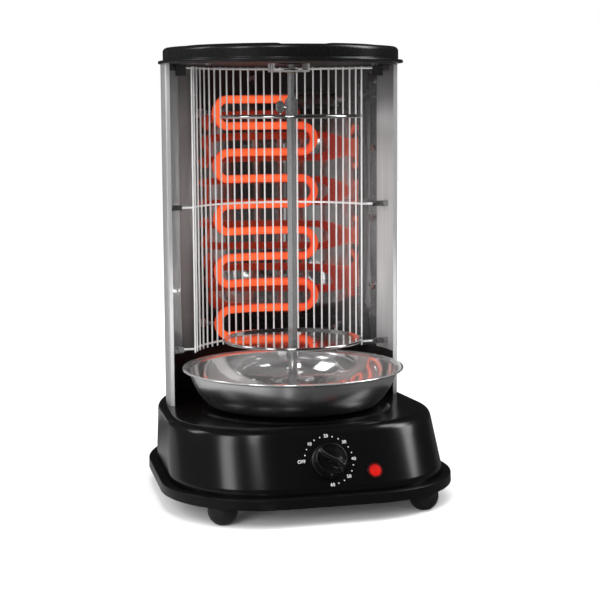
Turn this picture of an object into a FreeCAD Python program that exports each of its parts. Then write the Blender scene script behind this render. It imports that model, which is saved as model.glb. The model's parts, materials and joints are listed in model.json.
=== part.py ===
# Electric vertical skewer grill: a black base with a timer knob and a lamp, a round drip
# pan, a turning spit with two skewer discs, a wire guard, a glowing tube element, a curved
# steel housing and a black cap.  Millimetres, +Z up, front towards -Y.  The origin is the
# middle of the base, on the surface that the rubber feet stand on.
import FreeCAD, Part
import math
import os
import Sketcher
from FreeCAD import Placement, Rotation, Vector

doc = FreeCAD.newDocument("skewer_grill")
sheet = doc.addObject("Spreadsheet::Sheet", "dims")

SIZES = {
    # rubber feet and plinth
    "foot_radius": 14.8,
    "foot_flat": 6.0,            # radius of the flat that each foot stands on
    "foot_inset": 14.6,          # feet inside the plinth's outline
    "front_foot_turn": 51.0,     # where on the round corners the front feet are, degrees
    "rear_foot_turn": 47.0,
    "plinth_bottom": 18.0,
    "plinth_height": 10.5,
    "plinth_ledge": 8.5,         # how far the plinth stands out round the shell
    "plinth_top_sheet": 2.6,
    "plinth_wall": 3.0,
    "bottom_sheet": 1.2,         # thickness of the steel bottom plate
    # base shell
    "shell_half_width": 141.0,   # at its lower edge, where the front corners end
    "shell_front": 160.0,
    "shell_corner": 95.0,        # radius of the two front corners
    "plan_taper": 3.3,           # each side runs in towards the back, degrees
    "shell_wall": 2.2,
    "face_tilt": 30.0,           # control face leans back, degrees
    "side_taper": 4.0,           # how far the sides lean in between plinth and deck
    "shoulder_radius": 7.5,
    "deck_top": 88.0,
    "deck_ring_radius": 99.0,    # shallow raised step around the pan
    "deck_ring_height": 1.2,
    # spit axis
    "spit_behind": -14.0,        # spit axis, measured from the middle of the base
    "rod_side": 6.6,             # square bar
    "rod_turn": 30.0,            # how far the bar is turned at rest, degrees
    "rod_bottom": 121.0,
    "journal_radius": 3.3,
    "journal_length": 33.0,
    "journal_below": 2.0,        # below the housing's top edge
    "tongue_depth": 8.5,
    "tongue_thick": 2.6,
    "socket_radius": 5.0,
    "socket_depth": 9.5,         # slot in the drive socket
    "socket_bottom": 100.0,
    "drive_radius": 3.0,
    "drive_seat": 8.0,           # how deep the drive shaft sits in the socket
    "running_gap": 0.06,         # radial clearance of the running fits
    "slack": 0.3,                # clearance between pieces that only lie close
    # skewer discs and collars
    "disc_radius": 72.5,
    "disc_sheet": 1.2,
    "disc_rim": 1.6,             # radius of the rolled rim
    "upper_disc_drop": 21.0,     # below the upper end of the square bar
    "lower_disc_z": 156.0,
    "disc_slot_width": 3.0,
    "disc_slot_length": 13.0,
    "disc_slot_radius": 52.0,
    "disc_slots": 8.0,
    "disc_hole_radius": 2.2,
    "disc_hole_circle": 31.0,
    "collar_radius": 6.6,
    "collar_length": 18.0,
    "screw_up": 10.0,            # thumbscrew above or below the disc
    "screw_radius": 1.5,
    "screw_reach": 10.5,         # from the spit axis to the wing of the screw
    "wing_tall": 12.6,
    "wing_wide": 10.6,
    "wing_thick": 1.6,
    # drip pan
    "pan_inset": 10.0,           # the pan's rim is that much smaller than the housing
    "pan_lip_z": 130.0,
    "pan_lip_width": 7.0,
    "pan_bead": 1.2,
    "pan_sheet": 0.9,
    "pan_floor_radius": 88.0,
    "pan_hole_radius": 8.5,
    "pan_collar_height": 12.0,
    # housing
    "housing_radius": 125.0,
    "housing_behind": 28.8,      # centre of the housing behind the middle of the base
    "housing_sheet": 1.0,
    "housing_height": 354.0,
    "housing_hem": 4.5,
    "housing_front": 12.8,       # front edges, in front of the housing's own centre
    "reflector_gap": 13.0,       # from the outside of the housing to that of the reflector
    "reflector_sheet": 0.7,
    "reflector_front": 48.5,     # its flanges, behind the housing's own centre
    "reflector_lip": 18.0,       # where the lips on the housing end, degrees behind its side
    "reflector_bottom": 133.0,
    "reflector_below": 3.5,      # below the housing's top edge
    "wing_screw_angle": 20.7,    # degrees behind the side of the housing
    "wing_screw_below": 15.2,
    "wing_screw_bottom": 199.4,
    "wing_screw_rows": 4.0,
    "wing_screw_head": 3.6,
    # wire guard
    "guard_inset": 25.2,         # from the outside of the housing
    "guard_behind": 3.6,         # centre of the guard behind the middle of the base
    "guard_wires": 27.0,
    "guard_step": 5.2,           # degrees from wire to wire
    "wire_radius": 0.95,
    "hoop_radius": 1.2,
    "guard_bottom": 139.0,
    "guard_below": 2.0,          # below the housing's top edge
    "guard_front": 15.0,         # its fixing plane, behind the housing's own centre
    "hoop_bottom": 143.0,
    "hoop_middle": 293.0,
    "hoop_below": 4.0,
    # heating element
    "element_inset": 16.4,       # from the housing's radius to that of the curved element
    "element_tube": 4.4,
    "element_rows": 10.0,
    "element_below": 36.6,       # highest row, below the housing's top edge
    "element_bottom": 146.2,
    "element_half_angle": 22.5,  # where the rows end and the bends begin, degrees
    "terminal_length": 46.0,
    "terminal_radius": 5.6,
    # cap
    "cap_overhang": 2.5,         # flange beyond the housing
    "cap_flange_thick": 3.0,
    "cap_flange_width": 5.0,
    "cap_rise": 16.4,            # flat top above the housing's top edge
    "cap_edge": 4.5,
    "cap_wall": 2.4,
    "cap_pad_radius": 104.0,
    "cap_pad_valley": 23.0,      # half the width of the valley between the two pads
    "cap_pad_height": 1.6,
    "ceiling_sheet": 1.0,
    "ceiling_hole": 14.0,
    "bracket_left": 21.5,
    "bracket_right": 16.5,
    "bracket_half_depth": 11.0,
    "bracket_drop": 8.5,
    "bracket_sheet": 1.5,
    "bush_radius": 6.0,
    # controls
    "knob_radius": 17.5,
    "knob_skirt": 3.0,
    "knob_height": 14.5,
    "knob_z": 56.3,
    "knob_side": 1.0,
    "grip_half": 3.6,
    "timer_half_width": 23.0,
    "timer_half_height": 19.0,
    "timer_depth": 24.0,
    "timer_shaft_radius": 3.0,
    "timer_neck_radius": 5.0,
    "lamp_side": 46.0,
    "lamp_z": 46.0,
    "lamp_radius": 5.8,
    "lamp_bezel_radius": 7.6,
    "lamp_barrel_radius": 4.6,
    "lamp_depth": 20.0,
    # motor and wiring
    "motor_radius": 25.0,
    "motor_height": 22.0,
    "motor_top": 66.0,
    "gland_radius": 7.0,
    "gland_z": 45.0,
    # small fasteners and brackets
    "foot_screw_radius": 2.0,
    "foot_screw_length": 10.0,
    "plate_screw_radius": 1.8,
    "plate_screw_length": 12.0,
    "pillar_side": 88.0,         # pillars under the deck that take the bottom plate's screws
    "pillar_reach": 92.0,
    "pillar_radius": 4.5,
    "curve_gap": 0.1,            # between a flat end and the curved sheet it sits on
    "liner_sheet": 0.8,
    "weld_depth": 0.7,           # how far the guard's wires sink into its hoops
    "guard_screw_side": 115.0,
    "guard_screw_radius": 1.4,
    "arm_sheet": 1.2,            # brackets on the housing that hold the guard
    "clip_sheet": 1.0,
    "clip_long": 14.0,
    "clip_tall": 5.6,
    "clip_shift": 3.5,
    "terminal_angle": 17.5,      # where the glowing rows end and the cold ends begin, degrees
    "clamp_share": 0.8,          # where along a cold end its clamp holds it
    "clamp_post": 2.4,
    "cutout_radius": 8.0,
    "cutout_height": 7.0,
    "cutout_z": 300.0,
    "cap_screw_circle": 100.0,
    "cap_screw_length": 8.0,
    "corner_wide": 11.0,
    "corner_deep": 10.0,
    "corner_tall": 11.5,
    "corner_sheet": 1.5,
    "corner_side": 106.0,
    "corner_ahead": 6.0,
    "pan_side_radius": 62.0,
    "pan_lip_rise": 4.0,
    "motor_bore_depth": 6.0,
    "bush_flange": 1.5,
    "timer_neck_out": 3.0,
    "timer_nut_radius": 7.5,
    "knob_roof": 3.0,
    "knob_lift": 0.8,
    "knob_recess": 0.8,
    "knob_waist": 15.0,
    "knob_draft": 0.8,
    "knob_shoulder": 8.5,
    "lamp_wall": 1.2,
    "lamp_seat": 0.6,
    "lamp_dome": 2.6,
    "bulb_radius": 2.2,
    "bulb_base": 4.0,
    "motor_plate": 2.0,
    "motor_post_side": 34.0,
    "motor_post_radius": 4.0,
    "motor_screw_side": 16.0,
    "block_wide": 34.0,
    "block_deep": 16.0,
    "block_tall": 14.0,
    "block_side": 60.0,
    "block_behind": 60.0,
    "gland_bore": 3.6,
    "gland_inside": 10.0,
    "gland_flange": 2.5,
}


class Size:
    """A size that keeps its number together with the sheet expression behind it."""

    def __init__(self, value, text):
        self.value = value
        self.text = text

    def __add__(self, other):
        return combine(self, "+", other)

    def __radd__(self, other):
        return combine(other, "+", self)

    def __sub__(self, other):
        return combine(self, "-", other)

    def __rsub__(self, other):
        return combine(other, "-", self)

    def __mul__(self, other):
        return combine(self, "*", other)

    def __rmul__(self, other):
        return combine(other, "*", self)

    def __truediv__(self, other):
        return combine(self, "/", other)

    def __neg__(self):
        return combine(0.0, "-", self)


def as_size(number):
    if isinstance(number, Size):
        return number
    return Size(float(number), repr(float(number)))


def combine(left, sign, right):
    left = as_size(left)
    right = as_size(right)
    results = {
        "+": left.value + right.value,
        "-": left.value - right.value,
        "*": left.value * right.value,
    }
    value = left.value / right.value if sign == "/" else results[sign]
    return Size(value, "(" + left.text + " " + sign + " " + right.text + ")")


def cosine(angle):
    angle = as_size(angle)
    return Size(math.cos(math.radians(angle.value)), "cos(" + angle.text + ")")


def sine(angle):
    angle = as_size(angle)
    return Size(math.sin(math.radians(angle.value)), "sin(" + angle.text + ")")


def tangent(angle):
    return sine(angle) / cosine(angle)


def root(number):
    return Size(math.sqrt(number.value), "sqrt(" + number.text + ")")


class Dims:
    """Reads each alias of the sheet as a Size."""

    def __getattr__(self, alias):
        return Size(float(sheet.get(alias)), "<<dims>>." + alias)


for row, (alias, number) in enumerate(SIZES.items(), start=1):
    sheet.set("A" + str(row), alias)
    sheet.set("B" + str(row), str(number))
    sheet.setAlias("B" + str(row), alias)
doc.recompute()
dims = Dims()
nodes = {}


def bind(thing, path, size):
    thing.setExpression(path, as_size(size).text)


def keep(node, thing):
    """The thing is a finished piece: its label names its file."""
    thing.Label = node
    nodes[node] = thing
    return thing


def place(thing, x=0.0, y=0.0, z=0.0, rotation=None):
    thing.Placement = Placement(Vector(0, 0, 0), rotation or Rotation())
    for letter, size in zip("xyz", (x, y, z)):
        bind(thing, ".Placement.Base." + letter, size)
    return thing


def cylinder(name, radius, height, x=0.0, y=0.0, z=0.0, rotation=None):
    thing = doc.addObject("Part::Cylinder", name)
    bind(thing, "Radius", radius)
    bind(thing, "Height", height)
    return place(thing, x, y, z, rotation)


def box(name, sides, corner, rotation=None):
    thing = doc.addObject("Part::Box", name)
    for path, size in zip(("Length", "Width", "Height"), sides):
        bind(thing, path, size)
    return place(thing, corner[0], corner[1], corner[2], rotation)


def fuse(name, shapes):
    thing = doc.addObject("Part::MultiFuse", name)
    thing.Shapes = shapes
    thing.Refine = True
    return thing


def cut(name, base, tool):
    thing = doc.addObject("Part::Cut", name)
    thing.Base = base
    thing.Tool = tool
    return thing


def group(name, shapes):
    thing = doc.addObject("Part::Compound", name)
    thing.Links = shapes
    return thing


def plain(name, shape):
    thing = doc.addObject("Part::Feature", name)
    thing.Shape = shape
    return thing


def new_body(name):
    return doc.addObject("PartDesign::Body", name)


def sketch_in(body, name, plane="XY_Plane", offset=None):
    sketch = body.newObject("Sketcher::SketchObject", name)
    support = [face for face in body.Origin.OriginFeatures if face.Role == plane][0]
    sketch.AttachmentSupport = [(support, "")]
    sketch.MapMode = "FlatFace"
    if offset is not None:
        bind(sketch, ".AttachmentOffset.Base.z", offset)
    return sketch


def pin_point(sketch, edge, end, across, up):
    """Holds one end of an edge at its own distances from the sketch's two axes."""
    for kind, size, axis in (("DistanceX", across, -2), ("DistanceY", up, -1)):
        if not isinstance(size, Size) and size == 0:
            sketch.addConstraint(Sketcher.Constraint("PointOnObject", edge, end, axis))
        else:
            index = sketch.addConstraint(Sketcher.Constraint(kind, edge, end, as_size(size).value))
            bind(sketch, "Constraints[" + str(index) + "]", size)


def draw(sketch, corners):
    """One closed outline.  A corner is (across, up) or (across, up, radius): with a radius
    the edge that arrives there is an arc, which turns left when the radius is positive."""
    ends = []
    count = len(corners)
    for number in range(count):
        start = corners[number - 1]
        corner = corners[number]
        first = Vector(as_size(start[0]).value, as_size(start[1]).value, 0)
        last = Vector(as_size(corner[0]).value, as_size(corner[1]).value, 0)
        if len(corner) == 2:
            edge = sketch.addGeometry(Part.LineSegment(first, last))
            ends.append((edge, 1, 2))
            continue
        radius = as_size(corner[2]).value
        chord = last - first
        side = Vector(-chord.y, chord.x, 0).normalize()
        rise = math.sqrt(max(radius ** 2 - chord.Length ** 2 / 4, 0))
        centre = (first + last) / 2 + side * math.copysign(rise, radius)
        angles = [math.atan2(p.y - centre.y, p.x - centre.x) for p in (first, last)]
        if radius < 0:
            angles.reverse()
        circle = Part.Circle(centre, Vector(0, 0, 1), abs(radius))
        edge = sketch.addGeometry(Part.ArcOfCircle(circle, angles[0], angles[1]))
        index = sketch.addConstraint(Sketcher.Constraint("Radius", edge, abs(radius)))
        bind(sketch, "Constraints[" + str(index) + "]", corner[2] if radius > 0 else -corner[2])
        ends.append((edge, 1, 2) if radius > 0 else (edge, 2, 1))
    for number in range(count):
        arriving = ends[number]
        leaving = ends[(number + 1) % count]
        sketch.addConstraint(
            Sketcher.Constraint("Coincident", arriving[0], arriving[2], leaving[0], leaving[1]))
        pin_point(sketch, arriving[0], arriving[2], corners[number][0], corners[number][1])


def draw_circle(sketch, across, up, radius):
    centre = Vector(as_size(across).value, as_size(up).value, 0)
    edge = sketch.addGeometry(Part.Circle(centre, Vector(0, 0, 1), as_size(radius).value))
    index = sketch.addConstraint(Sketcher.Constraint("Radius", edge, as_size(radius).value))
    bind(sketch, "Constraints[" + str(index) + "]", radius)
    pin_point(sketch, edge, 3, across, up)


def turned(name, corners):
    """A solid of revolution about the body's own Z axis, from (radius, height) corners."""
    body = new_body(name)
    sketch = sketch_in(body, name + "_profile", "XZ_Plane")
    draw(sketch, corners)
    turn = body.newObject("PartDesign::Revolution", name + "_turn")
    turn.Profile = sketch
    turn.ReferenceAxis = (sketch, ["V_Axis"])
    turn.Angle = 360.0
    return body


def padded(body, sketch, length):
    pad = body.newObject("PartDesign::Pad", sketch.Name + "_pad")
    pad.Profile = sketch
    bind(pad, "Length", length)
    return pad


def pocketed(body, sketch, length, upwards=True):
    """Cuts from the sketch towards +Z of the sketch when upwards, otherwise downwards."""
    pocket = body.newObject("PartDesign::Pocket", sketch.Name + "_pocket")
    pocket.Profile = sketch
    pocket.Reversed = upwards
    bind(pocket, "Length", length)
    return pocket


# Places that several pieces share
plinth_top = dims.plinth_bottom + dims.plinth_height
spit_y = dims.spit_behind
housing_y = dims.housing_behind
deck_top = dims.deck_top
pan_seat = deck_top + dims.deck_ring_height
face_lean = Rotation(Vector(1, 0, 0), 90.0 - dims.face_tilt.value)
housing_top = deck_top + dims.housing_height
journal_top = housing_top - dims.journal_below
rod_top = journal_top - dims.journal_length
upper_disc_z = rod_top - dims.upper_disc_drop
guard_top = housing_top - dims.guard_below
hoop_top = housing_top - dims.hoop_below
element_top = housing_top - dims.element_below
element_pitch = (element_top - dims.element_bottom) / (dims.element_rows - 1)
shell_inner = dims.housing_radius - dims.housing_sheet    # inner face of the housing
reflector_radius = dims.housing_radius - dims.reflector_gap
guard_radius = dims.housing_radius - dims.guard_inset
element_radius = dims.housing_radius - dims.element_inset
pan_radius = dims.housing_radius - dims.pan_inset
cap_flange_radius = dims.housing_radius + dims.cap_overhang
cap_wall_radius = cap_flange_radius - dims.cap_flange_width
cap_top = housing_top + dims.cap_rise


# ---- plan of the base: two round front corners and a round back about the housing's centre
def back_radius(half_width, front, corner):
    """Radius of the round back, which the two sides touch."""
    along = housing_y - (corner - front)
    return corner + cosine(dims.plan_taper) * (half_width - corner) - sine(dims.plan_taper) * along


def rounded_plan(half_width, front, corner):
    across = half_width - corner
    back = back_radius(half_width, front, corner)
    level = cosine(dims.plan_taper)
    rise = sine(dims.plan_taper)
    front_end = (across + corner * level, corner - front + corner * rise)
    back_end = (back * level, housing_y + back * rise)
    return [
        (across, -front),
        (front_end[0], front_end[1], corner),
        back_end,
        (0, housing_y + back, back),
        (-back_end[0], back_end[1], back),
        (-front_end[0], front_end[1]),
        (-across, -front, corner),
    ]


def plinth_plan(inset):
    out = dims.plinth_ledge - inset
    return dims.shell_half_width + out, dims.shell_front + out, dims.shell_corner + out


def shell_plan(height, inset):
    side = dims.side_taper * (height - plinth_top) / (deck_top - plinth_top) + inset
    run = (height - plinth_top) * tangent(dims.face_tilt) + inset
    return dims.shell_half_width - side, dims.shell_front - run, dims.shell_corner - side


def foot_places():
    half_width, front, corner = plinth_plan(dims.foot_inset)
    back = back_radius(half_width, front, corner)
    x = half_width - corner + corner * cosine(dims.front_foot_turn)
    y = corner - front - corner * sine(dims.front_foot_turn)
    rear_x = back * cosine(dims.rear_foot_turn)
    rear_y = housing_y + back * sine(dims.rear_foot_turn)
    return [(-x, y), (x, y), (-rear_x, rear_y), (rear_x, rear_y)]


def on_face(side, height, out):
    """A point that stands out of the control face, which starts at the plinth's top."""
    run = (height - plinth_top) * tangent(dims.face_tilt)
    y = run - dims.shell_front - cosine(dims.face_tilt) * out
    z = height + sine(dims.face_tilt) * out
    return as_size(side), y, z


def lean(thing, point):
    """Places a piece with its own Z axis square to the control face."""
    place(thing, point[0], point[1], point[2], Rotation(Vector(1, 0, 0), 90.0))
    bind(thing, ".Placement.Rotation.Angle", 90.0 - dims.face_tilt)
    return thing


# ---- rubber feet and their screws
def make_feet():
    ball = dims.foot_radius
    centre = root(ball * ball - dims.foot_flat * dims.foot_flat)
    above = dims.plinth_bottom - centre
    neck = root(ball * ball - above * above)
    shank = dims.foot_screw_radius
    shank_bottom = dims.plinth_bottom - dims.foot_screw_length
    plate_top = dims.plinth_bottom + dims.bottom_sheet
    head = 2 * shank
    feet = []
    screws = []
    for x, y in foot_places():
        number = str(len(feet) + 1)
        foot = turned("foot_" + number, [
            (0, 0),
            (dims.foot_flat, 0),
            (ball, centre, ball),
            (neck, dims.plinth_bottom, ball),
            (shank, dims.plinth_bottom),
            (shank, shank_bottom),
            (0, shank_bottom),
        ])
        feet.append(place(foot, x, y))
        screw = turned("foot_screw_" + number, [
            (0, shank_bottom),
            (shank, shank_bottom),
            (shank, plate_top),
            (head, plate_top),
            (head, plate_top + shank),
            (0, plate_top + shank),
        ])
        screws.append(place(screw, x, y))
    keep("rubber_feet", group("feet", feet))
    keep("foot_screws", group("foot_screw_set", screws))


# ---- plinth ring and steel bottom plate
def make_plinth():
    body = new_body("plinth")
    skirt = sketch_in(body, "plinth_skirt", offset=dims.plinth_bottom)
    draw(skirt, rounded_plan(*plinth_plan(as_size(0.0))))
    draw(skirt, rounded_plan(*plinth_plan(dims.plinth_wall)))
    padded(body, skirt, dims.plinth_height)
    ledge = sketch_in(body, "plinth_ledge", offset=plinth_top - dims.plinth_top_sheet)
    draw(ledge, rounded_plan(*plinth_plan(as_size(0.0))))
    draw(ledge, rounded_plan(*shell_plan(plinth_top, dims.shell_wall)))
    padded(body, ledge, dims.plinth_top_sheet)
    keep("base_plinth", body)


def screw_places():
    """Where the bottom plate is screwed to the pillars under the deck."""
    return [
        (side * dims.pillar_side, reach * dims.pillar_reach)
        for side, reach in ((-1, -1), (1, -1), (-1, 1), (1, 1))
    ]


def make_bottom_plate():
    body = new_body("bottom")
    outline = sketch_in(body, "bottom_outline", offset=dims.plinth_bottom)
    draw(outline, rounded_plan(*plinth_plan(dims.plinth_wall + dims.slack)))
    for x, y in screw_places():
        draw_circle(outline, x, y, dims.plate_screw_radius)
    for x, y in foot_places():
        draw_circle(outline, x, y, dims.foot_screw_radius)
    padded(body, outline, dims.bottom_sheet)
    keep("bottom_plate", body)
    shank = dims.plate_screw_radius
    head = 2 * shank
    screws = []
    for number, (x, y) in enumerate(screw_places(), start=1):
        screw = turned("plate_screw_" + str(number), [
            (0, dims.plinth_bottom - shank),
            (head, dims.plinth_bottom - shank),
            (head, dims.plinth_bottom),
            (shank, dims.plinth_bottom),
            (shank, dims.plinth_bottom + dims.plate_screw_length),
            (0, dims.plinth_bottom + dims.plate_screw_length),
        ])
        screws.append(place(screw, x, y))
    keep("base_screws", group("plate_screw_set", screws))


# ---- base shell: leaning control face, round shoulder, flat deck with a raised round step
def lofted(body, kind, name, sections):
    sketches = []
    for number, (height, inset) in enumerate(sections):
        sketch = sketch_in(body, name + "_" + str(number), offset=height)
        draw(sketch, rounded_plan(*shell_plan(height, inset)))
        sketches.append(sketch)
    loft = body.newObject("PartDesign::" + kind, name)
    loft.Profile = sketches[0]
    loft.Sections = sketches[1:]
    loft.Ruled = True
    return loft


def gland_seat():
    """Where the gland's flange rests on the round back."""
    lowest = dims.gland_z - dims.gland_radius - dims.gland_flange
    return housing_y + back_radius(*shell_plan(lowest, as_size(0.0)))


def make_base_shell():
    body = new_body("shell")
    round_off = dims.shoulder_radius
    wall = dims.shell_wall
    outside = [(plinth_top, as_size(0.0))]
    for angle in (0.0, 30.0, 60.0, 90.0):
        height = deck_top - round_off + round_off * sine(angle)
        outside.append((height, round_off - round_off * cosine(angle)))
    lofted(body, "AdditiveLoft", "shell_outside", outside)
    inside = [
        (plinth_top, wall),
        (deck_top - round_off, wall),
        (deck_top - wall, wall + round_off - round_off * cosine(60.0)),
    ]
    lofted(body, "SubtractiveLoft", "shell_inside", inside)
    step = sketch_in(body, "deck_step", offset=deck_top)
    draw_circle(step, 0, spit_y, dims.deck_ring_radius)
    padded(body, step, dims.deck_ring_height)
    pillars = sketch_in(body, "pillars", offset=dims.plinth_bottom + dims.bottom_sheet)
    for x, y in screw_places():
        draw_circle(pillars, x, y, dims.pillar_radius)
        draw_circle(pillars, x, y, dims.plate_screw_radius)
    padded(body, pillars, deck_top - dims.plinth_bottom - dims.bottom_sheet - wall)
    bush_hole = sketch_in(body, "bush_hole", offset=pan_seat)
    draw_circle(bush_hole, 0, spit_y, dims.bush_radius)
    pocketed(body, bush_hole, dims.deck_ring_height + 2 * wall, upwards=False)
    timer_hole = lean(cylinder("timer_hole", dims.timer_neck_radius + dims.slack, 6 * wall),
                      on_face(dims.knob_side, dims.knob_z, -3 * wall))
    lamp_hole = lean(cylinder("lamp_hole", dims.lamp_barrel_radius + dims.slack, 6 * wall),
                     on_face(dims.lamp_side, dims.lamp_z, -3 * wall))
    gland_hole = cylinder("gland_hole", dims.gland_radius, 6 * wall, 0,
                          gland_seat() - 4 * wall, dims.gland_z, Rotation(Vector(1, 0, 0), -90.0))
    holes = fuse("shell_holes", [timer_hole, lamp_hole, gland_hole])
    keep("base_shell", cut("shell_with_holes", body, holes))


# ---- housing: outer shell, bright reflector inside it and the black liner behind the pan
def make_housing():
    outer = dims.housing_radius
    sheet_thick = dims.housing_sheet
    inner = outer - sheet_thick
    front = housing_y - dims.housing_front
    reach = dims.housing_front
    side = root(outer * outer - reach * reach)
    inner_reach = reach - sheet_thick
    inner_side = root(inner * inner - inner_reach * inner_reach)
    hem = side - dims.housing_hem
    body = new_body("housing")
    plan = sketch_in(body, "housing_plan", offset=deck_top)
    draw(plan, [
        (side, front),
        (0, housing_y + outer, outer),
        (-side, front, outer),
        (-hem, front),
        (-hem, front + sheet_thick),
        (-inner_side, front + sheet_thick),
        (0, housing_y + inner, -inner),
        (inner_side, front + sheet_thick, -inner),
        (hem, front + sheet_thick),
        (hem, front),
    ])
    padded(body, plan, dims.housing_height)
    holes = []
    for number, (angle, height) in enumerate(wing_screw_places(), start=1):
        holes.append(radial("wing_hole_" + str(number), dims.plate_screw_radius, 3 * sheet_thick,
                            inner - sheet_thick, angle, height))
    keep("housing_shell", cut("housing_with_holes", body, fuse("wing_holes", holes)))


def make_liner():
    outer = dims.housing_radius - dims.housing_sheet - dims.slack
    inner = outer - dims.liner_sheet
    reach = dims.housing_front - dims.housing_sheet - dims.slack
    side = root(outer * outer - reach * reach)
    inner_side = root(inner * inner - reach * reach)
    body = new_body("liner")
    plan = sketch_in(body, "liner_plan", offset=deck_top)
    draw(plan, [
        (side, housing_y - reach),
        (0, housing_y + outer, outer),
        (-side, housing_y - reach, outer),
        (-inner_side, housing_y - reach),
        (0, housing_y + inner, -inner),
        (inner_side, housing_y - reach, -inner),
    ])
    padded(body, plan, dims.reflector_bottom - deck_top)
    keep("lower_liner", body)


def radial(name, radius, length, start, angle, height):
    """A cylinder that points outwards from the housing's axis, angle from the right side."""
    rotation = Rotation(Vector(0, 0, 1), angle.value).multiply(Rotation(Vector(0, 1, 0), 90.0))
    x = cosine(angle) * start
    y = sine(angle) * start + housing_y
    return cylinder(name, radius, length, x, y, height, rotation)


def wing_screw_places():
    places = []
    top = housing_top - dims.wing_screw_below
    pitch = (top - dims.wing_screw_bottom) / (dims.wing_screw_rows - 1)
    for row in range(int(dims.wing_screw_rows.value)):
        height = top - row * pitch
        places.append((dims.wing_screw_angle, height))
        places.append((180.0 - dims.wing_screw_angle, height))
    return places


def make_reflector():
    outer = reflector_radius
    thick = dims.reflector_sheet
    inner = outer - thick
    ahead = dims.reflector_front
    back = ahead + thick
    side = root(outer * outer - back * back)
    inner_side = root(inner * inner - ahead * ahead)
    lip = shell_inner - dims.curve_gap
    lip_inner = lip - thick
    bend = root(lip * lip - back * back)
    inner_bend = root(lip_inner * lip_inner - ahead * ahead)
    level = cosine(dims.reflector_lip)
    rise = sine(dims.reflector_lip)
    body = new_body("reflector")
    plan = sketch_in(body, "reflector_plan", offset=dims.reflector_bottom)
    draw(plan, [
        (lip * level, housing_y + lip * rise),
        (bend, housing_y + back, lip),
        (side, housing_y + back),
        (0, housing_y + outer, outer),
        (-side, housing_y + back, outer),
        (-bend, housing_y + back),
        (-lip * level, housing_y + lip * rise, lip),
        (-lip_inner * level, housing_y + lip_inner * rise),
        (-inner_bend, housing_y + ahead, -lip_inner),
        (-inner_side, housing_y + ahead),
        (0, housing_y + inner, -inner),
        (inner_side, housing_y + ahead, -inner),
        (inner_bend, housing_y + ahead),
        (lip_inner * level, housing_y + lip_inner * rise, -lip_inner),
    ])
    padded(body, plan, housing_top - dims.reflector_below - dims.reflector_bottom)
    holes = []
    screws = []
    shank = dims.plate_screw_radius
    seat = lip_inner - dims.curve_gap
    for number, (angle, height) in enumerate(wing_screw_places(), start=1):
        tag = str(number)
        holes.append(radial("lip_hole_" + tag, shank, 4 * thick, lip_inner - thick, angle, height))
        head = radial("wing_head_" + tag, dims.wing_screw_head, shank, seat - shank, angle, height)
        stem = radial("wing_stem_" + tag, shank, dims.housing_radius - seat, seat, angle, height)
        screws.append(fuse("wing_screw_" + tag, [head, stem]))
    keep("inner_reflector", cut("reflector_with_holes", body, fuse("lip_holes", holes)))
    keep("wing_screws", group("wing_screw_set", screws))


# ---- wire guard between the spit and the element
guard_face = housing_y + dims.guard_front    # front of the brackets that hold the guard


def guard_screw_places():
    heights = (hoop_top, dims.hoop_middle, dims.hoop_bottom)
    return [(side, height) for side in (-1, 1) for height in heights]


def rod_between(first, last, radius):
    run = last - first
    return Part.makeCylinder(radius, run.Length, first, run)


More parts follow.
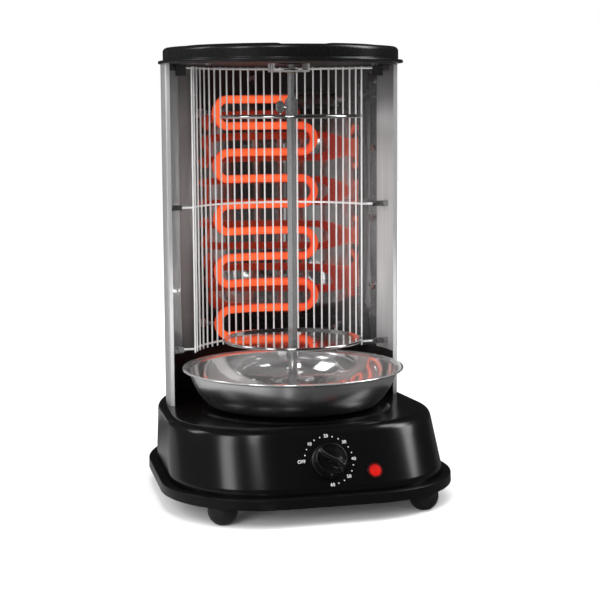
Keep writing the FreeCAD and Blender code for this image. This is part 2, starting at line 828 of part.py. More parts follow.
def make_guard():
    wire = dims.wire_radius.value
    hoop = dims.hoop_radius.value
    centre = Vector(0, dims.guard_behind.value, 0)
    radius = guard_radius.value
    hoop_line = radius + wire + hoop - dims.weld_depth.value
    tab_y = guard_face.value - hoop
    end_angle = math.acos((tab_y - centre.y) / hoop_line)
    tab_end = dims.guard_screw_side.value - 2 * dims.guard_screw_radius.value
    solids = []
    count = int(dims.guard_wires.value)
    for number in range(count):
        angle = math.radians((number - (count - 1) / 2) * dims.guard_step.value)
        foot = centre + Vector(math.sin(angle), math.cos(angle), 0) * radius
        solids.append(rod_between(foot + Vector(0, 0, dims.guard_bottom.value),
                                  foot + Vector(0, 0, guard_top.value), wire))
    for height in (dims.hoop_bottom, dims.hoop_middle, hoop_top):
        middle = centre + Vector(0, 0, height.value)
        start = middle + Vector(math.sin(end_angle), math.cos(end_angle), 0) * hoop_line
        ring = Part.Face(Part.Wire(Part.makeCircle(hoop, start, Vector(
            math.cos(end_angle), -math.sin(end_angle), 0))))
        solids.append(ring.revolve(middle, Vector(0, 0, 1), math.degrees(2 * end_angle)))
        for side in (-1, 1):
            corner = Vector(side * start.x, start.y, start.z)
            solids.append(rod_between(corner, Vector(side * tab_end, start.y, start.z), hoop))
            solids.append(Part.makeSphere(hoop, corner))
    guard = solids[0].multiFuse(solids[1:]).removeSplitter()
    keep("wire_guard", plain("guard", guard))
    saddles = []
    screws = []
    arms = []
    shank = dims.guard_screw_radius
    arm_sheet = dims.arm_sheet
    front = guard_face - 2 * dims.hoop_radius - dims.clip_sheet
    arm_reach = dims.guard_front + arm_sheet
    arm_end = root(shell_inner * shell_inner - arm_reach * arm_reach) - dims.curve_gap
    long = dims.clip_long
    tall = dims.clip_tall
    quarter = Rotation(Vector(1, 0, 0), 90.0)
    for number, (side, height) in enumerate(guard_screw_places(), start=1):
        tag = str(number)
        x = side * dims.guard_screw_side
        left = x - long / 2 - side * dims.clip_shift
        plate = box("clip_plate_" + tag, (long, dims.clip_sheet, tall),
                    (left, front, height - tall / 2))
        hole = cylinder("clip_hole_" + tag, shank, 4 * dims.clip_sheet, x,
                        front + 2 * dims.clip_sheet, height, quarter)
        saddles.append(cut("clip_" + tag, plate, hole))
        head = cylinder("clip_head_" + tag, 2 * shank, shank, x, front, height, quarter)
        arm_length = arm_end - dims.guard_screw_side + long / 2
        arm_left = side * arm_end if side < 0 else arm_end - arm_length
        arm = box("arm_plate_" + tag, (arm_length, arm_sheet, tall),
                  (arm_left, guard_face, height - tall / 2))
        arm_hole = cylinder("arm_hole_" + tag, shank, 4 * arm_sheet, x,
                            guard_face + 2 * arm_sheet, height, quarter)
        arms.append(cut("arm_" + tag, arm, arm_hole))
        length = guard_face - front + 2 * arm_sheet
        stem = cylinder("clip_stem_" + tag, shank, length, x, front + length, height, quarter)
        screws.append(fuse("clip_screw_" + tag, [head, stem]))
    keep("guard_brackets", group("arm_set", arms))
    keep("guard_clips", group("clip_set", saddles))
    keep("guard_screws", group("clip_screw_set", screws))


# ---- heating element: rows on a curved surface, joined by round bends
def element_point(angle, height):
    radius = element_radius.value
    return Vector(radius * math.sin(angle), dims.guard_behind.value + radius * math.cos(angle),
                  height)


def make_element():
    rows = int(dims.element_rows.value)
    pitch = element_pitch.value
    bend = pitch / 2
    reach = math.radians(dims.element_half_angle.value)
    cold = math.radians(dims.terminal_angle.value)
    edges = []
    for row in range(rows):
        height = element_top.value - row * pitch
        leftwards = row % 2 == 0
        right = cold if row in (0, rows - 1) else reach
        ends = [element_point(right, height), element_point(-reach, height)]
        middle = element_point((right - reach) / 2, height)
        if not leftwards:
            ends.reverse()
        edges.append(Part.Arc(ends[0], middle, ends[1]).toShape())
        if row == rows - 1:
            break
        side = -1 if leftwards else 1
        outwards = Vector(side * math.cos(reach), -math.sin(reach), 0)
        top = ends[1]
        low = top - Vector(0, 0, pitch)
        edges.append(Part.Arc(top, (top + low) / 2 + outwards * bend, low).toShape())
    path = Part.Wire(edges)
    tube = dims.element_tube.value
    start = element_point(cold, element_top.value)
    along = Vector(-math.cos(cold), math.sin(cold), 0)
    profile = Part.Wire(Part.makeCircle(tube, start, along))
    element = path.makePipeShell([profile], True, False)
    expected = math.pi * tube ** 2 * path.Length
    if abs(element.Volume - expected) > 0.02 * expected:
        raise SystemExit("the element's tube is not its section times its length")
    keep("heating_element", plain("element", element))
    terminals = []
    clamps = []
    angle = dims.terminal_angle
    turn = Rotation(Vector(0, 0, 1), -angle.value).multiply(Rotation(Vector(0, 1, 0), 90.0))
    x = element_radius * sine(angle)
    y = element_radius * cosine(angle) + dims.guard_behind
    heights = (element_top, element_top - (dims.element_rows - 1) * element_pitch)
    for number, height in enumerate(heights, start=1):
        terminals.append(cylinder("terminal_" + str(number), dims.terminal_radius,
                                  dims.terminal_length, x, y, height, turn))
        hold = dims.terminal_length.value * dims.clamp_share.value
        along = Vector(math.cos(cold), -math.sin(cold), 0)
        middle = Vector(x.value, y.value, height.value) + along * hold
        clamps.append(clamp(middle, along, dims.terminal_radius.value))
    for row in (0, rows - 2):
        outwards = Vector(-math.cos(reach), -math.sin(reach), 0)
        end = element_point(-reach, element_top.value - row * pitch - bend)
        clamps.append(clamp(end + outwards * bend, Vector(0, 0, 1), tube))
    keep("element_terminals", group("terminal_set", terminals))
    keep("element_clamps", plain("clamps", Part.makeCompound(clamps)))


def clamp(held, along, radius):
    """A footed post from the reflector that ends just short of a tube of that radius."""
    axis = Vector(0, housing_y.value, held.z)
    out = held - axis
    distance = out.Length
    out.normalize()
    slant = abs(out.dot(along))
    level = math.sqrt(1 - slant ** 2)
    post = dims.clamp_post.value
    gap = dims.curve_gap.value
    begin = distance + (radius + post * slant) / level + gap
    end = reflector_radius.value - dims.reflector_sheet.value - 2 * gap
    stem = Part.makeCylinder(post, end - begin, axis + out * begin, out)
    foot = Part.makeCylinder(2 * post, post / 2, axis + out * (end - post / 2), out)
    return stem.fuse(foot).removeSplitter()


# ---- thermal cut-out on the back of the reflector
def make_cutout():
    side = as_size(90.0)
    start = reflector_radius + dims.curve_gap
    keep("thermal_cutout", radial("cutout", dims.cutout_radius, dims.cutout_height, start, side,
                                  dims.cutout_z))


# ---- cap, ceiling plate and top bearing
def make_cap():
    bottom = housing_top
    flange_top = bottom + dims.cap_flange_thick
    edge = dims.cap_edge
    wall = dims.cap_wall
    body = turned("cap", [
        (0, cap_top - wall),
        (cap_wall_radius - wall, cap_top - wall),
        (cap_wall_radius - wall, bottom),
        (cap_flange_radius, bottom),
        (cap_flange_radius, flange_top),
        (cap_wall_radius, flange_top),
        (cap_wall_radius, cap_top - edge),
        (cap_wall_radius - edge, cap_top, edge),
        (0, cap_top),
    ])
    pads = sketch_in(body, "cap_pads", offset=cap_top)
    far = dims.cap_pad_radius
    near = dims.cap_pad_valley
    end = root(far * far - near * near)
    draw(pads, [(near, -end), (far, 0, far), (near, end, far)])
    draw(pads, [(-near, end), (-far, 0, far), (-near, -end, far)])
    padded(body, pads, dims.cap_pad_height)
    bosses = sketch_in(body, "cap_bosses", offset=bottom)
    for x, y in cap_screw_places():
        draw_circle(bosses, x, y, 2 * dims.plate_screw_radius)
        draw_circle(bosses, x, y, dims.plate_screw_radius)
    padded(body, bosses, cap_top - wall - bottom)
    keep("cap_shell", place(body, 0, housing_y))


def cap_screw_places():
    return [
        (cosine(angle) * dims.cap_screw_circle, sine(angle) * dims.cap_screw_circle)
        for angle in (90.0, 210.0, 330.0)
    ]


def make_ceiling():
    thick = dims.ceiling_sheet
    bottom = housing_top - thick
    body = new_body("ceiling")
    outline = sketch_in(body, "ceiling_outline", offset=bottom)
    hem = root(dims.housing_radius * dims.housing_radius
               - dims.housing_front * dims.housing_front) - dims.housing_hem
    reach = dims.housing_front - dims.housing_sheet
    draw_circle(outline, 0, 0, root(hem * hem + reach * reach) - dims.slack)
    draw_circle(outline, 0, spit_y - housing_y, dims.ceiling_hole)
    for x, y in cap_screw_places():
        draw_circle(outline, x, y, dims.plate_screw_radius)
    padded(body, outline, thick)
    keep("ceiling_plate", place(body, 0, housing_y))
    shank = dims.plate_screw_radius
    top = housing_top + dims.cap_screw_length
    screws = []
    for number, (x, y) in enumerate(cap_screw_places(), start=1):
        screw = turned("cap_screw_" + str(number), [
            (0, bottom - shank),
            (2 * shank, bottom - shank),
            (2 * shank, bottom),
            (shank, bottom),
            (shank, top),
            (0, top),
        ])
        screws.append(place(screw, x, y + housing_y))
    keep("cap_screws", group("cap_screw_set", screws))


def make_top_bearing():
    top = housing_top - dims.ceiling_sheet
    thick = dims.bracket_sheet
    left = dims.bracket_left
    right = dims.bracket_right
    low = top - dims.bracket_drop
    body = new_body("bracket")
    profile = sketch_in(body, "bracket_profile", "XZ_Plane", -dims.bracket_half_depth)
    draw(profile, [
        (-left, low),
        (right, low),
        (right, top),
        (right - thick, top),
        (right - thick, low + thick),
        (thick - left, low + thick),
        (thick - left, top),
        (-left, top),
    ])
    padded(body, profile, 2 * dims.bracket_half_depth)
    hole = sketch_in(body, "bracket_hole", offset=low)
    draw_circle(hole, 0, 0, dims.bush_radius)
    pocketed(body, hole, thick)
    keep("top_bearing_bracket", place(body, 0, spit_y))
    bore = dims.journal_radius + dims.running_gap
    flange = dims.bush_radius + thick
    bush = turned("top_bush", [
        (bore, low - thick / 2),
        (dims.bush_radius, low - thick / 2),
        (dims.bush_radius, low + thick),
        (flange, low + thick),
        (flange, low + 2 * thick),
        (bore, low + 2 * thick),
    ])
    keep("top_bearing_bush", place(bush, 0, spit_y))


def make_corner_brackets():
    wide = dims.corner_wide
    deep = dims.corner_deep
    tall = dims.corner_tall
    thick = dims.corner_sheet
    top = housing_top - dims.ceiling_sheet
    y = guard_face - dims.corner_ahead - deep
    pieces = []
    for side in (-1, 1):
        tag = "left" if side < 0 else "right"
        x = side * dims.corner_side - wide / 2
        flange = box("corner_flange_" + tag, (wide, deep, thick), (x, y, top - thick))
        plate = box("corner_plate_" + tag, (wide, thick, tall), (x, y, top - tall))
        pieces.append(fuse("corner_" + tag, [flange, plate]))
    keep("corner_brackets", group("corner_set", pieces))


# ---- drip pan
def make_pan():
    hole = dims.pan_hole_radius
    thick = dims.pan_sheet
    bead = dims.pan_bead
    rim = pan_radius
    lip_z = dims.pan_lip_z
    inner_lip = rim - dims.pan_lip_width
    curve = dims.pan_side_radius
    pan = turned("pan", [
        (hole, pan_seat),
        (dims.pan_floor_radius, pan_seat),
        (inner_lip, lip_z - dims.pan_lip_rise, curve),
        (rim - bead, lip_z - 2 * bead),
        (rim, lip_z - bead, bead),
        (rim - bead, lip_z, bead),
        (inner_lip - thick / 2, lip_z - dims.pan_lip_rise + thick),
        (dims.pan_floor_radius - thick / 2, pan_seat + thick, thick - curve),
        (hole + thick, pan_seat + thick),
        (hole + thick, pan_seat + dims.pan_collar_height),
        (hole, pan_seat + dims.pan_collar_height),
    ])
    keep("drip_pan", place(pan, 0, spit_y))


# ---- spit: drive shaft and socket, square bar, two discs with collars and thumbscrews
def make_drive():
    low = dims.motor_top - dims.motor_bore_depth + dims.slack
    high = dims.socket_bottom + dims.drive_seat
    keep("drive_shaft", cylinder("shaft", dims.drive_radius, high - low, 0, spit_y, low))
    body = new_body("socket")
    barrel = sketch_in(body, "socket_barrel", offset=dims.socket_bottom)
    draw_circle(barrel, 0, 0, dims.socket_radius)
    padded(body, barrel, dims.rod_bottom - dims.socket_bottom)
    bore = sketch_in(body, "socket_bore", offset=dims.socket_bottom)
    draw_circle(bore, 0, 0, dims.drive_radius)
    pocketed(body, bore, dims.drive_seat)
    slot = sketch_in(body, "socket_slot", offset=dims.rod_bottom)
    half = dims.tongue_thick / 2 + dims.slack / 2
    wide = dims.rod_side / 2 + dims.slack / 2
    draw(slot, [(-wide, -half), (wide, -half), (wide, half), (-wide, half)])
    pocketed(body, slot, dims.socket_depth, upwards=False)
    keep("drive_socket", turn_with_rod(body, as_size(0.0)))
    bore = dims.drive_radius + dims.running_gap
    bush = turned("deck_bush_turn", [
        (bore, pan_seat - dims.deck_ring_height - dims.shell_wall),
        (dims.bush_radius, pan_seat - dims.deck_ring_height - dims.shell_wall),
        (dims.bush_radius, pan_seat),
        (dims.bush_radius + dims.bush_flange, pan_seat),
        (dims.bush_radius + dims.bush_flange, pan_seat + dims.bush_flange),
        (bore, pan_seat + dims.bush_flange),
    ])
    keep("deck_bush", place(bush, 0, spit_y))


def turn_with_rod(thing, height):
    """Stands a piece on the spit axis, turned as far as the square bar is."""
    place(thing, 0, spit_y, height, Rotation(Vector(0, 0, 1), dims.rod_turn.value))
    bind(thing, ".Placement.Rotation.Angle", dims.rod_turn)
    return thing


def square(half):
    return [(-half, -half), (half, -half), (half, half), (-half, half)]


def make_spit():
    body = new_body("spit")
    half = dims.rod_side / 2
    bar = sketch_in(body, "spit_bar", offset=dims.rod_bottom)
    draw(bar, square(half))
    padded(body, bar, rod_top - dims.rod_bottom)
    journal = sketch_in(body, "spit_journal", offset=rod_top)
    draw_circle(journal, 0, 0, dims.journal_radius)
    padded(body, journal, journal_top - rod_top)
    tongue = sketch_in(body, "spit_tongue", offset=dims.rod_bottom - dims.tongue_depth)
    thin = dims.tongue_thick / 2
    draw(tongue, [(-half, -thin), (half, -thin), (half, thin), (-half, thin)])
    padded(body, tongue, dims.tongue_depth)
    keep("spit_rod", turn_with_rod(body, as_size(0.0)))


def make_disc(name, height):
    rim = dims.disc_rim
    radius = dims.disc_radius
    thick = dims.disc_sheet
    body = turned(name + "_turned", [
        (0, 0),
        (radius - rim, 0),
        (radius, rim, rim),
        (radius - rim, 2 * rim, rim),
        (radius - rim - thick, 2 * rim),
        (radius - rim - thick, thick),
        (0, thick),
    ])
    hub = sketch_in(body, name + "_hub")
    draw(hub, square(dims.rod_side / 2 + dims.slack))
    pocketed(body, hub, thick)
    slot = sketch_in(body, name + "_slot")
    near = dims.disc_slot_radius - dims.disc_slot_length / 2
    far = dims.disc_slot_radius + dims.disc_slot_length / 2
    half = dims.disc_slot_width / 2
    draw(slot, [(near, -half), (far, -half), (far + half, 0, half), (far, half, half), (near, half)])
    repeated(body, pocketed(body, slot, thick), dims.disc_slots)
    small = sketch_in(body, name + "_small_hole")
    draw_circle(small, dims.disc_hole_circle, 0, dims.disc_hole_radius)
    repeated(body, pocketed(body, small, thick), dims.disc_slots)
    return keep(name, turn_with_rod(body, height))


def repeated(body, feature, count):
    pattern = body.newObject("PartDesign::PolarPattern", feature.Name + "_ring")
    pattern.Originals = [feature]
    pattern.Axis = ([axis for axis in body.Origin.OriginFeatures if axis.Role == "Z_Axis"][0], [""])
    pattern.Angle = 360.0
    bind(pattern, "Occurrences", count)
    body.Tip = pattern
    return pattern


def make_collar(name, bottom, screw_height):
    """A round collar on the square bar, with a thumbscrew square to one side of the bar."""
    body = new_body(name + "_body")
    ring = sketch_in(body, name + "_ring")
    draw_circle(ring, 0, 0, dims.collar_radius)
    draw(ring, square(dims.rod_side / 2 + dims.slack))
    padded(body, ring, dims.collar_length)
    turn_with_rod(body, bottom)
    tool = doc.addObject("Part::Cylinder", name + "_screw_hole")
    bind(tool, "Radius", dims.screw_radius + dims.running_gap)
    bind(tool, "Height", 2 * dims.collar_radius)
    point_along_screw(tool, as_size(0.0), screw_height)
    keep(name, cut(name + "_drilled", body, tool))
    begin = dims.rod_side / 2 + dims.slack / 2
    shank = doc.addObject("Part::Cylinder", name + "_shank")
    bind(shank, "Radius", dims.screw_radius)
    bind(shank, "Height", dims.screw_reach - begin + dims.wing_thick)
    point_along_screw(shank, begin, screw_height)
    wing = new_body(name + "_wing")
    outline = sketch_in(wing, name + "_wing_outline", "XZ_Plane", -dims.wing_thick / 2)
    half = dims.wing_wide / 2
    straight = dims.wing_tall / 2 - half
    draw(outline, [
        (half, -straight, half),
        (half, straight),
        (0, straight + half, half),
        (-half, straight, half),
        (-half, -straight),
        (0, -straight - half, half),
    ])
    padded(wing, outline, dims.wing_thick)
    out = dims.screw_reach + half
    turn_with_rod(wing, screw_height)
    bind(wing, ".Placement.Base.x", -cosine(dims.rod_turn) * out)
    bind(wing, ".Placement.Base.y", spit_y - sine(dims.rod_turn) * out)
    screw_name = name.replace("collar", "thumbscrew")
    keep(screw_name, fuse(screw_name + "_fused", [shank, wing]))


def point_along_screw(thing, start, height):
    """Lays a cylinder square to the bar's front left side, starting that far from the axis."""
    turn = Rotation(Vector(0, 0, 1), dims.rod_turn.value).multiply(Rotation(Vector(0, 1, 0), -90.0))
    place(thing, -cosine(dims.rod_turn) * start, spit_y - sine(dims.rod_turn) * start, height, turn)


# ---- timer, its knob and the lamp on the control face
def make_timer():
    wall = dims.shell_wall
    wide = dims.timer_half_width
    tall = dims.timer_half_height
    body = new_body("timer_case")
    case = sketch_in(body, "timer_outline", offset=-wall - dims.timer_depth)
    draw(case, [(-wide, -tall), (wide, -tall), (wide, tall), (-wide, tall)])
    padded(body, case, dims.timer_depth)
    neck = sketch_in(body, "timer_neck", offset=-wall)
    draw_circle(neck, 0, 0, dims.timer_neck_radius)
    padded(body, neck, wall + dims.timer_neck_out)
    bore = sketch_in(body, "timer_bore", offset=dims.timer_neck_out)
    draw_circle(bore, 0, 0, dims.timer_shaft_radius + dims.running_gap)
    deep = dims.timer_neck_out + wall + dims.timer_depth / 2
    pocketed(body, bore, deep, upwards=False)
    place_on_face = on_face(dims.knob_side, dims.knob_z, 0.0)
    keep("timer_body", lean(body, place_on_face))
    nut = new_body("nut")
    ring = sketch_in(nut, "nut_ring")
    draw_circle(ring, 0, 0, dims.timer_nut_radius)
    draw_circle(ring, 0, 0, dims.timer_neck_radius)
    padded(nut, ring, dims.timer_neck_out - dims.slack)
    keep("timer_nut", lean(nut, place_on_face))
    length = deep - dims.slack + dims.knob_height - dims.knob_roof - dims.timer_neck_out - dims.slack
    start = dims.timer_neck_out - deep + dims.slack
    keep("timer_shaft", lean(cylinder("stem", dims.timer_shaft_radius, length),
                             on_face(dims.knob_side, dims.knob_z, start)))
    make_knob(place_on_face)


def make_knob(where):
    rim = dims.knob_radius
    low = dims.knob_lift
    top = dims.knob_height
    waist = dims.knob_waist
    shoulder = dims.knob_shoulder
    body = turned("knob", [
        (0, dims.timer_neck_out + dims.slack),
        (dims.timer_nut_radius + dims.knob_recess, dims.timer_neck_out + dims.slack),
        (dims.timer_nut_radius + dims.knob_recess, low),
        (rim, low),
        (rim, low + dims.knob_skirt),
        (waist, low + dims.knob_skirt),
        (waist - dims.knob_draft, shoulder),
        (0, shoulder),
    ])
    grip = sketch_in(body, "knob_grip", offset=low + dims.knob_skirt)
    half = dims.grip_half
    reach = root(waist * waist - half * half)
    draw(grip, [(-reach, -half, waist), (reach, -half), (reach, half, waist), (-reach, half)])
    padded(body, grip, top - low - dims.knob_skirt)
    bore = sketch_in(body, "knob_bore", offset=top - dims.knob_roof)
    draw_circle(bore, 0, 0, dims.timer_shaft_radius)
    pocketed(body, bore, top, upwards=False)
    lean(body, where)
    keep("timer_knob", body)


def make_lamp():
    where = on_face(dims.lamp_side, dims.lamp_z, 0.0)
    barrel = dims.lamp_barrel_radius
    wall = dims.lamp_wall
    seat = dims.lamp_seat
    holder = turned("lamp_holder_turned", [
        (barrel - wall, -dims.lamp_depth),
        (barrel, -dims.lamp_depth),
        (barrel, 0),
        (dims.lamp_bezel_radius, 0),
        (dims.lamp_bezel_radius, seat + wall),
        (dims.lamp_radius, seat + wall),
        (dims.lamp_radius, seat),
        (barrel - wall, seat),
    ])
    keep("lamp_holder", lean(holder, where))
    dome = dims.lamp_dome
    lens = turned("lens", [
        (0, seat),
        (dims.lamp_radius, seat),
        (dims.lamp_radius, seat + wall),
        (0, seat + wall + dome, (dims.lamp_radius * dims.lamp_radius + dome * dome) / (2 * dome)),
    ])
    keep("lamp_lens", lean(lens, where))
    bulb = turned("bulb", [
        (0, -dims.lamp_depth),
        (barrel - wall, -dims.lamp_depth),
        (barrel - wall, dims.bulb_base - dims.lamp_depth),
        (dims.bulb_radius, dims.bulb_base - dims.lamp_depth),
        (dims.bulb_radius, 0 - dims.bulb_radius),
        (0, 0 - dims.bulb_radius),
    ])
    keep("neon_lamp", lean(bulb, where))


# ---- gear motor under the deck, terminal block and the cable gland
def make_motor():
    top = dims.motor_top
    thick = dims.motor_plate
    deck_under = deck_top - dims.shell_wall
    bore = dims.drive_radius + dims.running_gap
    inner = top - dims.motor_bore_depth
    low = top - dims.motor_height
    motor = turned("motor", [
        (0, low),
        (dims.motor_radius, low),
        (dims.motor_radius, top),
        (bore, top),
        (bore, inner),
        (0, inner),
    ])
    keep("gear_motor", place(motor, 0, spit_y))
    body = new_body("motor_bracket_body")
    plate = sketch_in(body, "motor_plate", offset=top)
    half = dims.motor_post_side + dims.motor_post_radius
    deep = dims.motor_radius / 2
    draw(plate, [(-half, -deep), (half, -deep), (half, deep), (-half, deep)])
    draw_circle(plate, 0, 0, dims.bush_radius)
    for side in (-1, 1):
        draw_circle(plate, side * dims.motor_screw_side, 0, dims.plate_screw_radius)
    padded(body, plate, thick)
    posts = sketch_in(body, "motor_posts", offset=top + thick)
    for side in (-1, 1):
        draw_circle(posts, side * dims.motor_post_side, 0, dims.motor_post_radius)
    padded(body, posts, deck_under - top - thick)
    keep("motor_bracket", place(body, 0, spit_y))
    shank = dims.plate_screw_radius
    screws = []
    for number, side in enumerate((-1, 1), start=1):
        screw = turned("motor_screw_" + str(number), [
            (0, top),
            (shank, top),
            (shank, top + thick),
            (2 * shank, top + thick),
            (2 * shank, top + thick + shank),
            (0, top + thick + shank),
        ])
        screws.append(place(screw, side * dims.motor_screw_side, spit_y))
    keep("motor_screws", group("motor_screw_set", screws))


def make_wiring():
    floor = dims.plinth_bottom + dims.bottom_sheet
    wide = dims.block_wide
    deep = dims.block_deep
    keep("terminal_block", box("block", (wide, deep, dims.block_tall),
                               (dims.block_side - wide / 2, dims.block_behind, floor)))
    radius = dims.gland_radius
    flange = radius + dims.gland_flange
    gland = turned("gland", [
        (dims.gland_bore, 0),
        (radius, 0),
        (radius, dims.gland_inside),
        (flange, dims.gland_inside),
        (flange, dims.gland_inside + dims.gland_flange),
        (dims.gland_bore, dims.gland_inside + dims.gland_flange),
    ])
    keep("cable_gland", place(gland, 0, gland_seat() - dims.gland_inside, dims.gland_z,
                              Rotation(Vector(1, 0, 0), -90.0)))


make_feet()
make_plinth()
make_bottom_plate()
make_base_shell()
make_housing()
make_liner()
make_reflector()
make_guard()
make_element()
make_cutout()
make_cap()
make_ceiling()
make_top_bearing()
make_corner_brackets()
make_pan()
make_drive()
make_spit()
make_disc("upper_disc", upper_disc_z)
make_disc("lower_disc", dims.lower_disc_z)
make_collar("upper_collar", upper_disc_z + dims.disc_sheet,
            upper_disc_z + dims.disc_sheet + dims.screw_up)
make_collar("lower_collar", dims.lower_disc_z - dims.collar_length,
            dims.lower_disc_z - dims.screw_up)
make_timer()
make_lamp()
make_motor()
make_wiring()
doc.recompute()

faults = []
for thing in doc.Objects:
    if "Invalid" in thing.State or "Error" in thing.State:
        faults.append(thing.Name + " " + " ".join(thing.State))
for node, thing in nodes.items():
    shape = thing.Shape
    if shape.isNull() or not shape.isValid() or not shape.Solids:
        faults.append(node + " has no valid solid")
if faults:
    raise SystemExit("not built: " + ", ".join(faults))
os.makedirs("parts", exist_ok=True)
for node, thing in nodes.items():
    thing.Shape.exportStep("parts/" + node + ".step")
    print(node, len(thing.Shape.Solids), "solids", round(thing.Shape.Volume), "mm3")
print(len(nodes), "nodes")
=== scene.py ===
# Looks of the upright skewer grill, in metres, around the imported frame.
import json
import math
import bmesh
import bpy
import numpy as np
from mathutils import Matrix, Vector


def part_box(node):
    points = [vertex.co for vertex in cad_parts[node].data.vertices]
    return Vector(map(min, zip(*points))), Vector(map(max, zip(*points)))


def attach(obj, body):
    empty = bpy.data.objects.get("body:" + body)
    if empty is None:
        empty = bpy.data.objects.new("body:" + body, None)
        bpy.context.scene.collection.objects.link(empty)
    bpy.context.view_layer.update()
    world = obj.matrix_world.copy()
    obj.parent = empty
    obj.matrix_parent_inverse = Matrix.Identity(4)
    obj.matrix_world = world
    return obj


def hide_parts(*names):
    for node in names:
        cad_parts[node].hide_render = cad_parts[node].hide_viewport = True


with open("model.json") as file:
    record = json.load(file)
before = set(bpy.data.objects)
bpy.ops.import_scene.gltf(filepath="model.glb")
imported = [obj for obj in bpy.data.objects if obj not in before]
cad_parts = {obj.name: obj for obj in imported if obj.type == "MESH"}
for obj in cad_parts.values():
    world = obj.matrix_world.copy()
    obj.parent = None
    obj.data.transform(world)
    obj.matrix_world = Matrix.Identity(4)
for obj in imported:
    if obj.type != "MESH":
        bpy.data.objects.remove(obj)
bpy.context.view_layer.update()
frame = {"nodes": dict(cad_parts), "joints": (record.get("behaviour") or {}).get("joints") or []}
mm = 0.001
print("frame loaded:", len(frame["nodes"]), "nodes")


# places read from the frame
def nodeBox(name):
    low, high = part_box(name)
    return np.array(low), np.array(high)


def nodeMiddle(name):
    low, high = nodeBox(name)
    return (low + high) / 2


spitX, spitY = nodeMiddle("drip_pan")[:2]
housingY = nodeMiddle("cap_shell")[1]
plinthBottom, plinthTop = (corner[2] for corner in nodeBox("base_plinth"))
deckTop = nodeBox("housing_shell")[0][2]
stepTop = nodeBox("drip_pan")[0][2]
faceTilt = math.radians(30)
knobJoint = next(joint for joint in frame["joints"] if joint["name"] == "timer_turn")

# how near points are welded, the rounding of a sheet's edges, and the angles past which an edge
# is drawn sharp
meshPlan = {
    "weld": 1e-7, "dissolve": 1e-8, "sheetEdge": 0.2 * mm, "sharpSheet": 50, "sharpPan": 40, "sharpCap": 60,
}


def signedVolume(mesh):
    # sum over triangles of a . (b x c) / 6, measured from the mesh's own middle
    mesh.calc_loop_triangles()
    corners = np.empty(len(mesh.loop_triangles) * 3, np.int32)
    mesh.loop_triangles.foreach_get("vertices", corners)
    places = np.empty(len(mesh.vertices) * 3, np.float32)
    mesh.vertices.foreach_get("co", places)
    places = places.reshape(-1, 3).astype(float)
    a, b, c = (places - places.mean(axis=0))[corners].reshape(-1, 3, 3).transpose(1, 0, 2)
    return np.sum(a * np.cross(b, c)) / 6


def linkedObject(name, data):
    piece = bpy.data.objects.new(name, data)
    bpy.context.scene.collection.objects.link(piece)
    return piece


def meshFromGrid(name, points, wrapU=False, wrapV=False, closeFirst=False, closeLast=False):
    # points[u, v] is a grid; quads join neighbours, a wrapped side joins its last row to its first,
    # and a closed end is one fan face over the first or last row of u
    countU, countV = points.shape[:2]
    index = np.arange(countU * countV).reshape(countU, countV)
    nextU = np.roll(index, -1, axis=0) if wrapU else index[1:]
    thisU = index if wrapU else index[:-1]
    quads = np.stack([thisU, nextU, np.roll(nextU, -1, axis=1), np.roll(thisU, -1, axis=1)], axis=-1)
    if not wrapV:
        quads = quads[:, :-1]
    faces = quads.reshape(-1, 4).tolist()
    if closeFirst:
        faces.append(index[0, ::-1].tolist())
    if closeLast:
        faces.append(index[-1].tolist())
    mesh = bpy.data.meshes.new(name)
    mesh.from_pydata(points.reshape(-1, 3).tolist(), [], faces)
    welded = bmesh.new()
    welded.from_mesh(mesh)
    bmesh.ops.remove_doubles(welded, verts=welded.verts, dist=meshPlan["weld"])
    bmesh.ops.dissolve_degenerate(welded, edges=welded.edges, dist=meshPlan["dissolve"])
    welded.to_mesh(mesh)
    welded.free()
    mesh.validate()
    mesh.shade_smooth()
    if signedVolume(mesh) < 0:
        mesh.flip_normals()
    return linkedObject(name, mesh)


def joined(name, pieces):
    # several finished meshes become one piece
    for piece in bpy.context.selected_objects:
        piece.select_set(False)
    for piece in pieces:
        piece.select_set(True)
    bpy.context.view_layer.objects.active = pieces[0]
    bpy.ops.object.join()
    whole = bpy.context.view_layer.objects.active
    whole.name = name
    whole.data.name = name
    return whole


def sharpen(piece, degrees):
    piece.data.set_sharp_from_angle(angle=math.radians(degrees))


def rounded(corners, steps=6):
    # a polyline whose corners (x, z, radius) are replaced by arcs tangent to both sides
    corners = [tuple(corner) + (0,) * (3 - len(corner)) for corner in corners]
    run = []
    for number, (x, z, radius) in enumerate(corners):
        here = np.array([x, z], float)
        if radius == 0 or number in (0, len(corners) - 1):
            run.append(here[None])
            continue
        before = np.array(corners[number - 1][:2], float) - here
        after = np.array(corners[number + 1][:2], float) - here
        before /= np.linalg.norm(before)
        after /= np.linalg.norm(after)
        half = math.acos(np.clip(before @ after, -1, 1)) / 2
        middle = (before + after) / np.linalg.norm(before + after)
        centre = here + middle * radius / math.sin(half)
        first = here + before * radius / math.tan(half) - centre
        last = here + after * radius / math.tan(half) - centre
        spread = math.pi - 2 * half
        share = np.linspace(0, 1, steps + 1)[:, None]
        swept = np.sin((1 - share) * spread) * first + np.sin(share * spread) * last
        run.append(centre + swept / math.sin(spread))
    return np.concatenate(run)


def arc(centre, radius, start, end, count):
    # points at centre + radius (cos a, sin a), a in degrees
    angle = np.radians(np.linspace(start, end, count))
    return np.stack([centre[0] + radius * np.cos(angle), centre[1] + radius * np.sin(angle)], axis=1)


